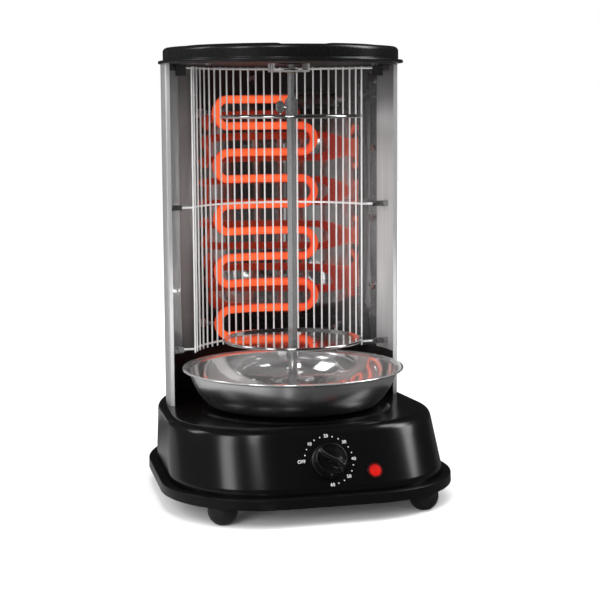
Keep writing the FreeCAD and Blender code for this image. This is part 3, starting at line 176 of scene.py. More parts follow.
def turned(profile, around, centre=(0, 0)):
    # point = (cx + r cos a, cy + r sin a, z) for each (r, z) of the profile and each angle a
    angle = np.linspace(0, 2 * math.pi, around, endpoint=False)
    x = centre[0] + profile[:, :1] * np.cos(angle)
    y = centre[1] + profile[:, :1] * np.sin(angle)
    return np.stack([x, y, np.broadcast_to(profile[:, 1:], x.shape)], axis=-1)


def atHeight(plane, height):
    return np.column_stack([plane, np.full(len(plane), height)])


def tube(name, path, radius, side, around, taper=1.0):
    # ring at each path point: p + radius (side cos a + (tangent x side) sin a)
    tangent = np.gradient(path, axis=0)
    tangent /= np.linalg.norm(tangent, axis=1)[:, None]
    side = np.broadcast_to(side, path.shape)
    side = side - tangent * np.sum(side * tangent, axis=1)[:, None]
    side = side / np.linalg.norm(side, axis=1)[:, None]
    other = np.cross(tangent, side)
    angle = np.linspace(0, 2 * math.pi, around, endpoint=False)[None, :, None]
    size = (radius * np.broadcast_to(taper, len(path)))[:, None, None]
    points = path[:, None] + size * (side[:, None] * np.cos(angle) + other[:, None] * np.sin(angle))
    return meshFromGrid(name, points, wrapV=True, closeFirst=True, closeLast=True)


def sheetAlong(name, path, thick, low, high):
    # a sheet standing on a plan path: its cross-section, with rounded edges, is carried along
    # the path, offset sideways along the path's normal
    tangent = np.gradient(path, axis=0)
    tangent /= np.linalg.norm(tangent, axis=1)[:, None]
    normal = np.stack([tangent[:, 1], -tangent[:, 0]], axis=1)
    half, edge = thick / 2, meshPlan["sheetEdge"]
    across = np.array([edge - half, half - edge, half, half, half - edge, edge - half, -half, -half])
    up = np.array([low, low, low + edge, high - edge, high, high, high - edge, low + edge])
    points = np.concatenate([
        path[:, None] + normal[:, None] * across[None, :, None],
        np.broadcast_to(up[None, :, None], (len(path), len(up), 1)),
    ], axis=-1)
    piece = meshFromGrid(name, points, wrapV=True, closeFirst=True, closeLast=True)
    sharpen(piece, meshPlan["sharpSheet"])
    return piece


# node helpers: the noise lies mostly inside grainRange, and a tone is one grey or a colour
grainRange = (0.3, 0.7)


def newMaterial(name):
    material = bpy.data.materials.new(name)
    material.use_nodes = True
    nodes = material.node_tree.nodes
    return material, nodes, material.node_tree.links, nodes["Principled BSDF"]


def objectSpace(nodes):
    return nodes.new("ShaderNodeTexCoord").outputs


def separated(nodes, links, vector):
    split = nodes.new("ShaderNodeSeparateXYZ")
    links.new(vector, split.inputs["Vector"])
    return split.outputs


def multiplied(nodes, links, first, second):
    product = nodes.new("ShaderNodeMath")
    product.operation = "MULTIPLY"
    links.new(first, product.inputs[0])
    links.new(second, product.inputs[1])
    return product.outputs["Value"]


def ranged(nodes, links, value, fromRange, toRange=(0.0, 1.0), smooth=True):
    # maps one range onto another, held at both ends
    share = nodes.new("ShaderNodeMapRange")
    share.interpolation_type = "SMOOTHSTEP" if smooth else "LINEAR"
    for end, first, second in zip(("Min", "Max"), fromRange, toRange):
        share.inputs["From " + end].default_value = first
        share.inputs["To " + end].default_value = second
    links.new(value, share.inputs["Value"])
    return share.outputs["Result"]


def ramped(nodes, links, value, stops):
    # a tone at each position, with straight blends between them
    ramp = nodes.new("ShaderNodeValToRGB")
    elements = ramp.color_ramp.elements
    for index, (position, tone) in enumerate(stops):
        element = elements[index] if index < 2 else elements.new(position)
        element.position = position
        element.color = (*np.broadcast_to(tone, 3), 1)
    links.new(value, ramp.inputs["Fac"])
    return ramp.outputs["Color"]


def blended(nodes, links, share, first, second):
    # mixes two colours; a colour mix has them on inputs 6 and 7 and its result on output 2
    mix = nodes.new("ShaderNodeMix")
    mix.data_type = "RGBA"
    links.new(share, mix.inputs["Factor"])
    links.new(first, mix.inputs[6])
    links.new(second, mix.inputs[7])
    return mix.outputs[2]


def shadersMixed(tree, share, first, second):
    # a share of 0 shows the first shader and a share of 1 the second
    mix = tree.nodes.new("ShaderNodeMixShader")
    for socket, output in zip(mix.inputs, (share, first, second)):
        tree.links.new(output, socket)
    return mix.outputs["Shader"]


def stretchedNoise(nodes, links, look):
    # noise on object coordinates, drawn out along the axes where stretch is small
    mapping = nodes.new("ShaderNodeMapping")
    mapping.inputs["Scale"].default_value = look["stretch"]
    links.new(objectSpace(nodes)["Object"], mapping.inputs["Vector"])
    noise = nodes.new("ShaderNodeTexNoise")
    noise.inputs["Scale"].default_value = look["scale"]
    noise.inputs["Detail"].default_value = look["detail"]
    links.new(mapping.outputs["Vector"], noise.inputs["Vector"])
    return noise.outputs["Fac"]


def tinted(nodes, links, grain, tones):
    return ramped(nodes, links, grain, zip(grainRange, tones))


def bumped(nodes, links, shader, height, look):
    bump = nodes.new("ShaderNodeBump")
    bump.inputs["Strength"].default_value = look["bump"]
    bump.inputs["Distance"].default_value = look["depth"]
    links.new(height, bump.inputs["Height"])
    links.new(bump.outputs["Normal"], shader.inputs["Normal"])


# each material starts from these values, and its own look changes some of them
metalBase = {
    "metallic": 1.0, "stretch": (1, 1, 1), "scale": 300, "detail": 5, "bump": 0.05, "depth": 0.1 * mm,
}
coatedBase = {
    "specular": 0.5, "stretch": (1, 1, 1), "scale": 300, "detail": 4, "bump": 0.05, "depth": 0.2 * mm,
}
glowBase = {
    "rough": 0.6, "specular": 0.1, "stretch": (1, 1, 1), "detail": 2, "facing": (-0.95, -0.1),
    "patches": (0.75, 1.0),
}


def grainedMaterial(name, look):
    # fine grain that shows in the roughness and the surface
    material, nodes, links, shader = newMaterial(name)
    grain = stretchedNoise(nodes, links, look)
    bumped(nodes, links, shader, grain, look)
    return material, nodes, links, shader, grain


def roughened(nodes, links, shader, grain, look):
    links.new(ranged(nodes, links, grain, grainRange, look["rough"], False), shader.inputs["Roughness"])


def metalMaterial(name, ownLook):
    look = metalBase | ownLook
    material, nodes, links, shader, grain = grainedMaterial(name, look)
    roughened(nodes, links, shader, grain, look)
    links.new(tinted(nodes, links, grain, look["tones"]), shader.inputs["Base Color"])
    shader.inputs["Metallic"].default_value = look["metallic"]
    return material


def coatedMaterial(name, ownLook):
    # paint, moulded plastic or rubber
    look = coatedBase | ownLook
    material, nodes, links, shader, grain = grainedMaterial(name, look)
    roughened(nodes, links, shader, grain, look)
    links.new(tinted(nodes, links, grain, look["tones"]), shader.inputs["Base Color"])
    shader.inputs["Specular IOR Level"].default_value = look["specular"]
    return material


def reflectorMaterial(name, ownLook):
    # polished sheet, darker in its middle behind the element; painted light makes it paler and less metallic
    # towards its sides, most on the left
    look = metalBase | ownLook
    material, nodes, links, shader, grain = grainedMaterial(name, look)
    roughened(nodes, links, shader, grain, look)
    across = separated(nodes, links, objectSpace(nodes)["Object"])["X"]
    sideways = nodes.new("ShaderNodeMath")
    sideways.operation = "ABSOLUTE"
    links.new(across, sideways.inputs[0])
    outer = ranged(nodes, links, sideways.outputs["Value"], look["fade"])
    # painted light: this share brightens the sides and lowers their metallic, more on the left than on the
    # right
    paintedLightShare = multiplied(nodes, links, outer, ranged(nodes, links, across, look["middle"], look["sides"]))
    dark = tinted(nodes, links, grain, look["dark"])
    pale = tinted(nodes, links, grain, look["pale"])
    links.new(blended(nodes, links, paintedLightShare, dark, pale), shader.inputs["Base Color"])
    links.new(ranged(nodes, links, paintedLightShare, (0.0, 1.0), look["metallic"]), shader.inputs["Metallic"])
    return material


def housingMaterial(name, ownLook):
    # brushed sheet, paler on the inside of the curve, where the light gathers: the normal's
    # product with the way from the housing's axis is negative there
    look = metalBase | ownLook
    material, nodes, links, shader, grain = grainedMaterial(name, look)
    roughened(nodes, links, shader, grain, look)
    place = objectSpace(nodes)
    fromAxis = nodes.new("ShaderNodeVectorMath")
    fromAxis.operation = "SUBTRACT"
    links.new(place["Object"], fromAxis.inputs[0])
    fromAxis.inputs[1].default_value = (0, housingY, 0)
    outward = nodes.new("ShaderNodeVectorMath")
    outward.operation = "DOT_PRODUCT"
    links.new(fromAxis.outputs["Vector"], outward.inputs[0])
    links.new(place["Normal"], outward.inputs[1])
    facing = outward.outputs["Value"]
    inside = tinted(nodes, links, grain, look["inside"])
    outside = tinted(nodes, links, grain, look["outside"])
    share = ranged(nodes, links, facing, look["facing"])
    links.new(blended(nodes, links, share, inside, outside), shader.inputs["Base Color"])
    links.new(ranged(nodes, links, facing, look["facing"], look["metallic"]), shader.inputs["Metallic"])
    return material


def panMaterial(name, ownLook):
    # spun steel, polished where it faces up and duller where it faces down
    look = metalBase | ownLook
    material, nodes, links, shader, grain = grainedMaterial(name, look)
    links.new(tinted(nodes, links, grain, look["tones"]), shader.inputs["Base Color"])
    upward = separated(nodes, links, objectSpace(nodes)["Normal"])["Z"]
    links.new(ranged(nodes, links, upward, look["facing"], look["rough"]), shader.inputs["Roughness"])
    links.new(ranged(nodes, links, upward, look["facing"], look["metallic"]), shader.inputs["Metallic"])
    return material


def glowingMaterial(name, ownLook):
    # red hot, with slow patches and duller towards one side; painted shading makes it brightest where it faces
    # the front and dimmer where its surface turns away
    look = glowBase | ownLook
    material, nodes, links, shader = newMaterial(name)
    place = objectSpace(nodes)
    # painted shading: the glow falls off as the surface's normal turns away from the front (-Y)
    forward = separated(nodes, links, place["Normal"])["Y"]
    across = separated(nodes, links, place["Object"])["X"]
    glowShadeAndSideFade = multiplied(nodes, links, ranged(nodes, links, forward, look["facing"], look["front"]),
                      ranged(nodes, links, across, look["sideways"], look["sides"]))
    patches = stretchedNoise(nodes, links, look)
    warm = multiplied(nodes, links, glowShadeAndSideFade, ranged(nodes, links, patches, grainRange, look["patches"], False))
    glow = ramped(nodes, links, warm, ((0.0, look["cold"]), (1.0, look["hot"])))
    links.new(glow, shader.inputs["Emission Color"])
    shader.inputs["Emission Strength"].default_value = 1.0
    shader.inputs["Base Color"].default_value = (*look["base"], 1)
    shader.inputs["Roughness"].default_value = look["rough"]
    shader.inputs["Specular IOR Level"].default_value = look["specular"]
    return material


coatedPlan = {
    "basePaint": {"tones": (0.0016, 0.0026), "rough": (0.18, 0.22), "scale": 1500, "bump": 0.02,
                  "depth": 0.1 * mm, "specular": 0.40},
    "capPaint": {"tones": (0.0025, 0.0040), "rough": (0.24, 0.29), "scale": 1500, "bump": 0.02,
                 "depth": 0.1 * mm},
    "plinthPlastic": {"tones": (0.0016, 0.0030), "rough": (0.30, 0.38), "scale": 900, "specular": 0.25},
    "knobPlastic": {"tones": (0.0022, 0.0040), "rough": (0.20, 0.26), "scale": 900, "bump": 0.03,
                    "specular": 0.45},
    "rubber": {"tones": (0.005, 0.009), "rough": (0.45, 0.55), "scale": 500, "bump": 0.15, "specular": 0.25},
    "blackSheet": {"tones": (0.010, 0.016), "rough": (0.4, 0.5), "scale": 600, "bump": 0.08},
    "coldEnd": {"tones": ((0.010, 0.007, 0.007), (0.03, 0.016, 0.013)), "rough": (0.45, 0.6), "scale": 120,
                "bump": 0.2},
    "paleCase": {"tones": ((0.55, 0.53, 0.48), (0.62, 0.6, 0.55)), "rough": (0.4, 0.5), "scale": 400},
    "lampBezel": {"tones": ((0.030, 0.002, 0.002), (0.055, 0.003, 0.003)), "rough": (0.2, 0.3)},
    "dialPrint": {"tones": (0.62, 0.70), "rough": (0.5, 0.6), "scale": 500, "bump": 0.02},
}
metalPlan = {
    "bracketSteel": {"tones": (0.56, 0.66), "rough": (0.25, 0.35), "stretch": (1, 1, 0.03), "scale": 260,
                     "metallic": 0.6},
    "discSteel": {"tones": (0.70, 0.78), "rough": (0.05, 0.10), "scale": 40, "bump": 0.02, "depth": 0.2 * mm},
    "chromeWire": {"tones": (0.86, 0.92), "rough": (0.10, 0.16), "stretch": (1, 1, 0.1), "scale": 200,
                   "bump": 0.01, "metallic": 0.35},
    "barSteel": {"tones": (0.44, 0.52), "rough": (0.16, 0.22), "stretch": (1, 1, 0.05), "bump": 0.01,
                 "metallic": 0.80},
    "zincSteel": {"tones": (0.50, 0.62), "rough": (0.25, 0.35)},
    "brass": {"tones": ((0.50, 0.38, 0.18), (0.62, 0.48, 0.24)), "rough": (0.2, 0.3)},
}
ownPlan = {
    # the reflector's pale tones and lower metallic towards its sides are painted light
    "mirrorSteel": (reflectorMaterial, {
        "dark": (0.32, 0.42), "pale": (0.66, 0.76), "fade": (60 * mm, 95 * mm), "middle": (-20 * mm, 20 * mm),
        "sides": (1.0, 0.35), "metallic": (0.97, 0.58), "rough": (0.05, 0.08), "stretch": (1, 1, 0.02),
        "scale": 90, "bump": 0.02, "depth": 0.2 * mm}),
    "housingSteel": (housingMaterial, {
        "inside": (0.58, 0.67), "outside": (0.34, 0.41), "facing": (-0.02, 0.02), "metallic": (0.25, 0.45),
        "rough": (0.28, 0.40), "stretch": (1, 1, 0.03), "scale": 260}),
    "panSteel": (panMaterial, {
        "tones": (0.80, 0.90), "facing": (-0.1, 0.1), "rough": (0.28, 0.06), "metallic": (1.0, 0.80),
        "stretch": (0.2, 0.2, 1), "scale": 200, "bump": 0.03, "depth": 0.2 * mm}),
    # front is each glow's painted shading: full where the surface faces the front, this share where it turns
    # away
    "hotTube": (glowingMaterial, {
        "cold": (0.42, 0.010, 0.006), "hot": (1.0, 0.155, 0.040), "base": (0.20, 0.02, 0.015), "scale": 26,
        "front": (1.0, 0.25), "sideways": (0.0, 55 * mm), "sides": (1.0, 0.55)}),
    "lampGlow": (glowingMaterial, {
        "cold": (0.30, 0.002, 0.002), "hot": (0.72, 0.010, 0.006), "base": (0.03, 0.001, 0.001), "scale": 170,
        "front": (1.0, 0.35), "sideways": (0.0, 1.0), "sides": (1.0, 1.0)}),
}
materialPlan = {name: (coatedMaterial, look) for name, look in coatedPlan.items()}
materialPlan |= {name: (metalMaterial, look) for name, look in metalPlan.items()}
materialPlan |= ownPlan
madeMaterials = {}


def finish(piece, name):
    if name not in madeMaterials:
        make, look = materialPlan[name]
        madeMaterials[name] = make(name, look)
    piece.data.materials.clear()
    piece.data.materials.append(madeMaterials[name])


def dress(piece, body, slot, finishName, *replaced):
    finish(piece, finishName)
    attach(piece, body)
    if replaced:
        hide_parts(*replaced)


# base shell, plinth ring and feet; "creaseRise" gives the share of the step's height at so many
# creaseRounds out from creaseRadius
shellPlan = {
    "halfWidth": 141 * mm, "front": 160 * mm, "corner": 95 * mm, "slope": math.radians(3.3),
    "sideTaper": 4 * mm, "shoulder": 7.5 * mm, "wall": 2.2 * mm, "creaseRadius": 99 * mm,
    "creaseRound": 1.4 * mm, "cornerSteps": 30, "sideSteps": 8, "faceRings": 8, "shoulderRings": 9,
    "deckShares": (0.75, 0.5, 0.25), "creaseRise": ((2, 0.0), (1, 0.08), (0, 0.5), (-1, 0.92), (-2, 1.0)),
    "stepRadii": (60 * mm, 20 * mm, 6.3 * mm),
}


def baseOutline(sideInset, frontInset):
    # the right front corner's centre and radius, and the radius of the round back that the sides
    # touch when they leave that corner at their slope
    plan = shellPlan
    corner = plan["corner"] - sideInset
    x = plan["halfWidth"] - plan["corner"]
    y = corner - plan["front"] + frontInset
    back = corner + math.cos(plan["slope"]) * x - math.sin(plan["slope"]) * (housingY - y)
    return x, y, corner, back


def baseRing(sideInset, frontInset, height):
    # two round front corners and a round back about the housing's centre, joined by straights that
    # touch both, from the right end of the front all the way round
    plan = shellPlan
    x, y, corner, back = baseOutline(sideInset, frontInset)
    slope = math.degrees(plan["slope"])
    steps = plan["cornerSteps"]
    parts = [
        arc((x, y), corner, -90, slope, steps + 1),
        arc((0, housingY), back, slope, 180 - slope, 2 * steps + 1),
        arc((-x, y), corner, 180 - slope, 270, steps + 1),
    ]
    ring = []
    for part, following in zip(parts, parts[1:] + parts[:1]):
        share = np.linspace(0, 1, plan["sideSteps"] + 1)[1:-1, None]
        ring += [part, part[-1] + (following[0] - part[-1]) * share]
    return atHeight(np.concatenate(ring), height)


def makeBaseShell():
    # rings go up the leaning face, over the round shoulder and inwards over the deck, where a soft
    # crease rises to the round step under the pan
    plan = shellPlan
    shoulder = plan["shoulder"]
    rings = []

    def addRing(height, inset):
        lift = height - plinthTop
        side = plan["sideTaper"] * lift / (deckTop - plinthTop)
        rings.append(baseRing(side + inset, lift * math.tan(faceTilt) + inset, height))

    for height in np.linspace(plinthTop, deckTop - shoulder, plan["faceRings"]):
        addRing(height, 0)
    for angle in np.radians(np.linspace(0, 90, plan["shoulderRings"] + 1)[1:]):
        addRing(deckTop - shoulder + shoulder * math.sin(angle), shoulder * (1 - math.cos(angle)))
    edge = rings[-1][:, :2] - [spitX, spitY]
    reach = np.linalg.norm(edge, axis=1)
    crease = plan["creaseRadius"]
    start = crease + (plan["creaseRise"][0][0] + 1) * plan["creaseRound"]
    inward = [(start + (reach - start) * share, 0.0) for share in plan["deckShares"]]
    inward += [(crease + steps * plan["creaseRound"], rise) for steps, rise in plan["creaseRise"]]
    inward += [(radius, 1.0) for radius in plan["stepRadii"]]
    for radius, rise in inward:
        ring = edge * (radius / reach)[:, None] + [spitX, spitY]
        rings.append(atHeight(ring, deckTop + rise * (stepTop - deckTop)))
    piece = meshFromGrid("baseShell", np.stack(rings), wrapV=True)
    wall = piece.modifiers.new("wall", "SOLIDIFY")
    wall.thickness = plan["wall"]
    wall.offset = -1
    dress(piece, "base", "black_paint", "basePaint", "base_shell")


plinthPlan = {
    "ledge": 8.5 * mm, "rimWidth": 2.9 * mm, "rimRound": 0.8 * mm, "lean": 0.2 * mm, "topRound": 1.3 * mm,
    "topFlat": 6 * mm, "flange": 2.6 * mm, "wall": 3 * mm, "roundSteps": 5,
}


def makePlinth():
    # the ring's cross-section is carried round the plan, each corner inset by its own amount from
    # the shell's outline
    plan = plinthPlan
    ledge = plan["ledge"]
    under = plinthTop - plan["flange"]
    section = rounded([
        (plan["rimWidth"], plinthBottom), (0, plinthBottom, plan["rimRound"]),
        (plan["lean"], plinthTop, plan["topRound"]), (plan["topFlat"], plinthTop)], plan["roundSteps"])
    inward = [(shellPlan["wall"], plinthTop), (shellPlan["wall"], under), (plan["wall"] - ledge, under)]
    section = np.concatenate([section - [ledge, 0], inward])
    rings = [baseRing(inset, inset, height) for inset, height in section]
    piece = meshFromGrid("basePlinth", np.stack(rings), wrapU=True, wrapV=True)
    sharpen(piece, meshPlan["sharpSheet"])
    dress(piece, "base", "black_plastic", "plinthPlastic", "base_plinth")


footPlan = {
    "radius": 14.8 * mm, "flat": 6 * mm, "flatShares": (0.0, 0.5, 0.9), "inset": 14.6 * mm,
    "frontTurn": math.radians(51), "rearTurn": math.radians(47), "ballSteps": 28, "around": 48,
}


def footPlaces():
    # on circles inside the plinth's front corners and inside its round back
    inset = footPlan["inset"] - plinthPlan["ledge"]
    x, y, corner, back = baseOutline(inset, inset)
    front, rear = footPlan["frontTurn"], footPlan["rearTurn"]
    frontX, frontY = x + corner * math.cos(front), y - corner * math.sin(front)
    rearX, rearY = back * math.cos(rear), housingY + back * math.sin(rear)
    return [(-frontX, frontY), (frontX, frontY), (-rearX, rearY), (rearX, rearY)]


def makeFeet():
    # a ball cut flat below and above, turned round each foot's place
    plan = footPlan
    top = nodeBox("rubber_feet")[1][2]
    radius, flat = plan["radius"], plan["flat"]
    centre = math.sqrt(radius ** 2 - flat ** 2)
    angle = np.linspace(math.asin(-centre / radius), math.asin((top - centre) / radius), plan["ballSteps"])
    ball = np.column_stack([radius * np.cos(angle), centre + radius * np.sin(angle)])
    under = [(flat * share, 0.0) for share in plan["flatShares"]]
    profile = np.concatenate([under, ball, [(flat, top), (0.0, top)]])
    feet = [meshFromGrid("foot", turned(profile, plan["around"], place), wrapV=True) for place in footPlaces()]
    dress(joined("rubberFeet", feet), "base", "foot_rubber", "rubber", "rubber_feet")


makeBaseShell()
makePlinth()
makeFeet()
print("base made")


# housing, reflector and liner: sheets that stand on plan paths; "lip" is in degrees
housingPlan = {
    "radius": 125 * mm, "sheet": 1.0 * mm, "hem": 4.5 * mm, "front": 12.8 * mm, "bend": 0.8 * mm, "steps": 241,
}


def makeHousing():
    # an arc past half a circle, whose front edges are bent inwards as hems
    plan = housingPlan
    middle = plan["radius"] - plan["sheet"] / 2
    drop = math.degrees(math.asin((plan["front"] - plan["sheet"]) / middle))
    curve = arc((0, housingY), middle, -drop, 180 + drop, plan["steps"])
    hemX = math.sqrt(plan["radius"] ** 2 - plan["front"] ** 2) - plan["hem"]
    hemY = housingY - plan["front"] + plan["sheet"] / 2
    right = rounded([(hemX, hemY), (curve[0, 0], hemY, plan["bend"]), tuple(curve[1])])[:-1]
    path = np.concatenate([right, curve[1:-1], right[::-1] * [-1, 1]])
    piece = sheetAlong("housingShell", path, plan["sheet"], deckTop, nodeBox("housing_shell")[1][2])
    dress(piece, "base", "housing_steel", "housingSteel", "housing_shell")


reflectorPlan = {
    "radius": 112 * mm, "sheet": 0.7 * mm, "front": 48.5 * mm, "bend": 0.8 * mm, "lip": 18,
    "lipGap": 0.1 * mm, "steps": 181, "lipSteps": 9,
}


def makeReflector():
    # a round back, a flange on each side and a lip that lies against the housing
    plan = reflectorPlan
    low, high = nodeBox("inner_reflector")
    sheet = plan["sheet"]
    middle = plan["radius"] - sheet / 2
    y = housingY + plan["front"] + sheet / 2
    rise = math.degrees(math.asin((y - housingY) / middle))
    curve = arc((0, housingY), middle, rise, 180 - rise, plan["steps"])
    outer = housingPlan["radius"] - housingPlan["sheet"] - plan["lipGap"] - sheet / 2
    lipRise = math.degrees(math.asin((y - housingY) / outer))
    lip = arc((0, housingY), outer, plan["lip"], lipRise, plan["lipSteps"])
    flange = rounded([tuple(lip[-2]), (lip[-1, 0], y, plan["bend"]), (curve[0, 0], y, plan["bend"]),
                      tuple(curve[1])])[1:-1]
    half = np.concatenate([lip[:-1], flange])
    path = np.concatenate([half, curve[1:-1], half[::-1] * [-1, 1]])
    piece = sheetAlong("innerReflector", path, sheet, low[2], high[2])
    dress(piece, "base", "bright_steel", "mirrorSteel", "inner_reflector")


linerPlan = {"sheet": 0.8 * mm, "slack": 0.3 * mm, "steps": 201}


def makeLiner():
    plan = linerPlan
    low, high = nodeBox("lower_liner")
    middle = housingPlan["radius"] - housingPlan["sheet"] - plan["slack"] - plan["sheet"] / 2
    drop = math.degrees(math.asin((housingY - low[1]) / middle))
    path = arc((0, housingY), middle, -drop, 180 + drop, plan["steps"])
    piece = sheetAlong("lowerLiner", path, plan["sheet"], low[2], high[2])
    dress(piece, "base", "black_sheet", "blackSheet", "lower_liner")


makeHousing()
makeReflector()
makeLiner()
print("housing made")


# wire guard: each of "ends" is a way in from a wire's end and the share of its radius there
guardPlan = {
    "radius": 99.8 * mm, "behind": 3.6 * mm, "wires": 27, "step": 5.2, "wire": 0.95 * mm, "wireAround": 12,
    "ends": ((0.0, 0.55), (0.3 * mm, 0.9), (0.8 * mm, 1.0)), "hoops": (143 * mm, 293 * mm, 438 * mm),
    "hoop": 1.2 * mm, "hoopAround": 14, "hoopSteps": 181, "weld": 0.7 * mm, "front": 15 * mm,
    "bend": 3 * mm, "bendSteps": 8, "bendPoints": 6,
}


def guardCurve(radius, angle):
    # an arc about the guard's axis, x = r sin a and y = behind + r cos a
    return np.column_stack([radius * np.sin(angle), guardPlan["behind"] + radius * np.cos(angle)])


def makeGuard():
    plan = guardPlan
    low, high = nodeBox("wire_guard")
    ends = np.array(plan["ends"])
    heights = np.concatenate([low[2] + ends[:, 0], high[2] - ends[::-1, 0]])
    taper = np.concatenate([ends[:, 1], ends[::-1, 1]])
    angles = np.radians((np.arange(plan["wires"]) - (plan["wires"] - 1) / 2) * plan["step"])
    wires = []
    for place in guardCurve(plan["radius"], angles):
        path = np.column_stack([np.broadcast_to(place, (len(heights), 2)), heights])
        wires.append(tube("wire", path, plan["wire"], (1.0, 0.0, 0.0), plan["wireAround"], taper))
    line = plan["radius"] + plan["wire"] + plan["hoop"] - plan["weld"]
    tabY = housingY + plan["front"] - plan["hoop"]
    end = math.acos((tabY - plan["behind"]) / line)
    curve = guardCurve(line, np.linspace(-end, end, plan["hoopSteps"]))
    inner = plan["bendPoints"]
    tab = rounded([(high[0], tabY), (curve[-1, 0], tabY, plan["bend"]), tuple(curve[-inner])],
                  plan["bendSteps"])[:-1]
    plane = np.concatenate([tab * [-1, 1], curve[inner:-inner], tab[::-1]])
    for height in plan["hoops"]:
        wires.append(tube("hoop", atHeight(plane, height), plan["hoop"], (0.0, 0.0, 1.0), plan["hoopAround"]))
    dress(joined("wireGuard", wires), "base", "chrome_wire", "chromeWire", "wire_guard")


# heating element; "reach" and "cold" are the angles at which its rows end
elementPlan = {
    "radius": 108.6 * mm, "tube": 4.4 * mm, "rows": 10, "top": 405.4 * mm, "pitch": 28.8 * mm,
    "reach": 22.5, "cold": 17.5, "rowSteps": 24, "bendSteps": 18, "around": 20,
}


def makeElement():
    # rows are arcs on an upright cylinder; each bend is a half circle in the plane that touches
    # the cylinder at the end of the row
    plan = elementPlan
    bend = plan["pitch"] / 2
    lastRow = plan["rows"] - 1
    stretches = []
    for row in range(plan["rows"]):
        height = plan["top"] - row * plan["pitch"]
        leftwards = row % 2 == 0
        right = plan["cold"] if row in (0, lastRow) else plan["reach"]
        limits = (right, -plan["reach"]) if leftwards else (-plan["reach"], right)
        angle = np.radians(np.linspace(*limits, plan["rowSteps"]))
        stretches.append(atHeight(guardCurve(plan["radius"], angle), height))
        if row == lastRow:
            break
        turn = np.linspace(0, math.pi, plan["bendSteps"])[1:-1]
        edge = math.radians(-plan["reach"] if leftwards else plan["reach"])
        outwards = np.array([math.cos(edge), -math.sin(edge)]) * (-1 if leftwards else 1)
        plane = guardCurve(plan["radius"], np.array([edge])) + outwards * bend * np.sin(turn)[:, None]
        stretches.append(np.column_stack([plane, height - bend + bend * np.cos(turn)]))
    path = np.concatenate(stretches)
    side = path * [1, 1, 0] - [0, guardPlan["behind"], 0]
    piece = tube("heatingElement", path, plan["tube"], side, plan["around"])
    dress(piece, "base", "glowing_tube", "hotTube", "heating_element")


makeGuard()
makeElement()
print("guard and element made")


# drip pan: its floor is flat in the middle, rises by "dish" to its edge and meets a curved wall
panPlan = {
    "flat": 45 * mm, "floor": 88 * mm, "dish": 3.4 * mm, "floorSteps": 9, "curve": 62 * mm, "curveSteps": 24,
    "lipWidth": 7 * mm, "lipRise": 4 * mm, "bead": 1.2 * mm, "beadSteps": 13, "sheet": 0.9 * mm,
    "hole": 8.5 * mm, "collar": 12 * mm, "collarFoot": 3 * mm, "collarEdge": 0.4 * mm,
    "seat": 20 * mm, "seatTop": 24 * mm, "around": 192,
}


def chordArc(first, last, radius, count):
    # the arc from first to last that turns left with that radius
    first, last = np.array(first), np.array(last)
    chord = last - first
    side = np.array([-chord[1], chord[0]]) / np.linalg.norm(chord)
    centre = (first + last) / 2 + side * math.sqrt(radius ** 2 - (chord @ chord) / 4)
    start = math.degrees(math.atan2(*(first - centre)[::-1]))
    end = math.degrees(math.atan2(*(last - centre)[::-1]))
    return arc(centre, radius, start, end, count)


def makePan():
    # the floor rises as the square of the way from its flat middle to its edge
    plan = panPlan
    low, high = nodeBox("drip_pan")
    rim = (high[0] - low[0]) / 2
    floor, lip, thick, bead = low[2], high[2], plan["sheet"], plan["bead"]
    way = np.linspace(0, 1, plan["floorSteps"])
    dished = np.column_stack([plan["flat"] + (plan["floor"] - plan["flat"]) * way,
                              floor + plan["dish"] * way ** 2])
    lipFoot = np.array([rim - plan["lipWidth"], lip - plan["lipRise"]])
    inwards = np.array([-thick / 2, thick])
    outside = chordArc(dished[-1], lipFoot, plan["curve"], plan["curveSteps"])[1:]
    inside = chordArc(dished[-1] + inwards, lipFoot + inwards, plan["curve"] - thick, plan["curveSteps"])[::-1]
    hole, collar, edge = plan["hole"], floor + plan["collar"], plan["collarEdge"]
    profile = np.concatenate([
        [(hole, floor), (plan["seat"], floor)], dished, outside,
        arc((rim - bead, lip - bead), bead, -90, 90, plan["beadSteps"]), inside,
        (dished + (0, thick))[:-1][::-1], [(plan["seatTop"], floor + thick)],
        rounded([(plan["seat"], floor + thick), (hole + thick, floor + thick, plan["collarFoot"]),
                 (hole + thick, collar, edge), (hole, collar, edge), (hole, floor)])[:-1],
    ])
    points = turned(profile, plan["around"], (spitX, spitY))
    piece = meshFromGrid("dripPan", points, wrapU=True, wrapV=True)
    sharpen(piece, meshPlan["sharpPan"])
    dress(piece, "pan", "pan_steel", "panSteel", "drip_pan")


# cap
capPlan = {
    "wallRadius": 122.5 * mm, "wall": 2.4 * mm, "rimRound": 0.6 * mm, "flange": 3 * mm,
    "flangeRound": 1.2 * mm, "edge": 4.5 * mm, "edgeWidth": 8 * mm, "topWidth": 9 * mm, "topRings": 70,
    "underRadius": 60 * mm, "padRadius": 104 * mm, "valley": 23 * mm, "padHeight": 1.6 * mm,
    "padSoft": 4 * mm, "roundSteps": 8, "around": 192, "topWithin": 1e-6,
}


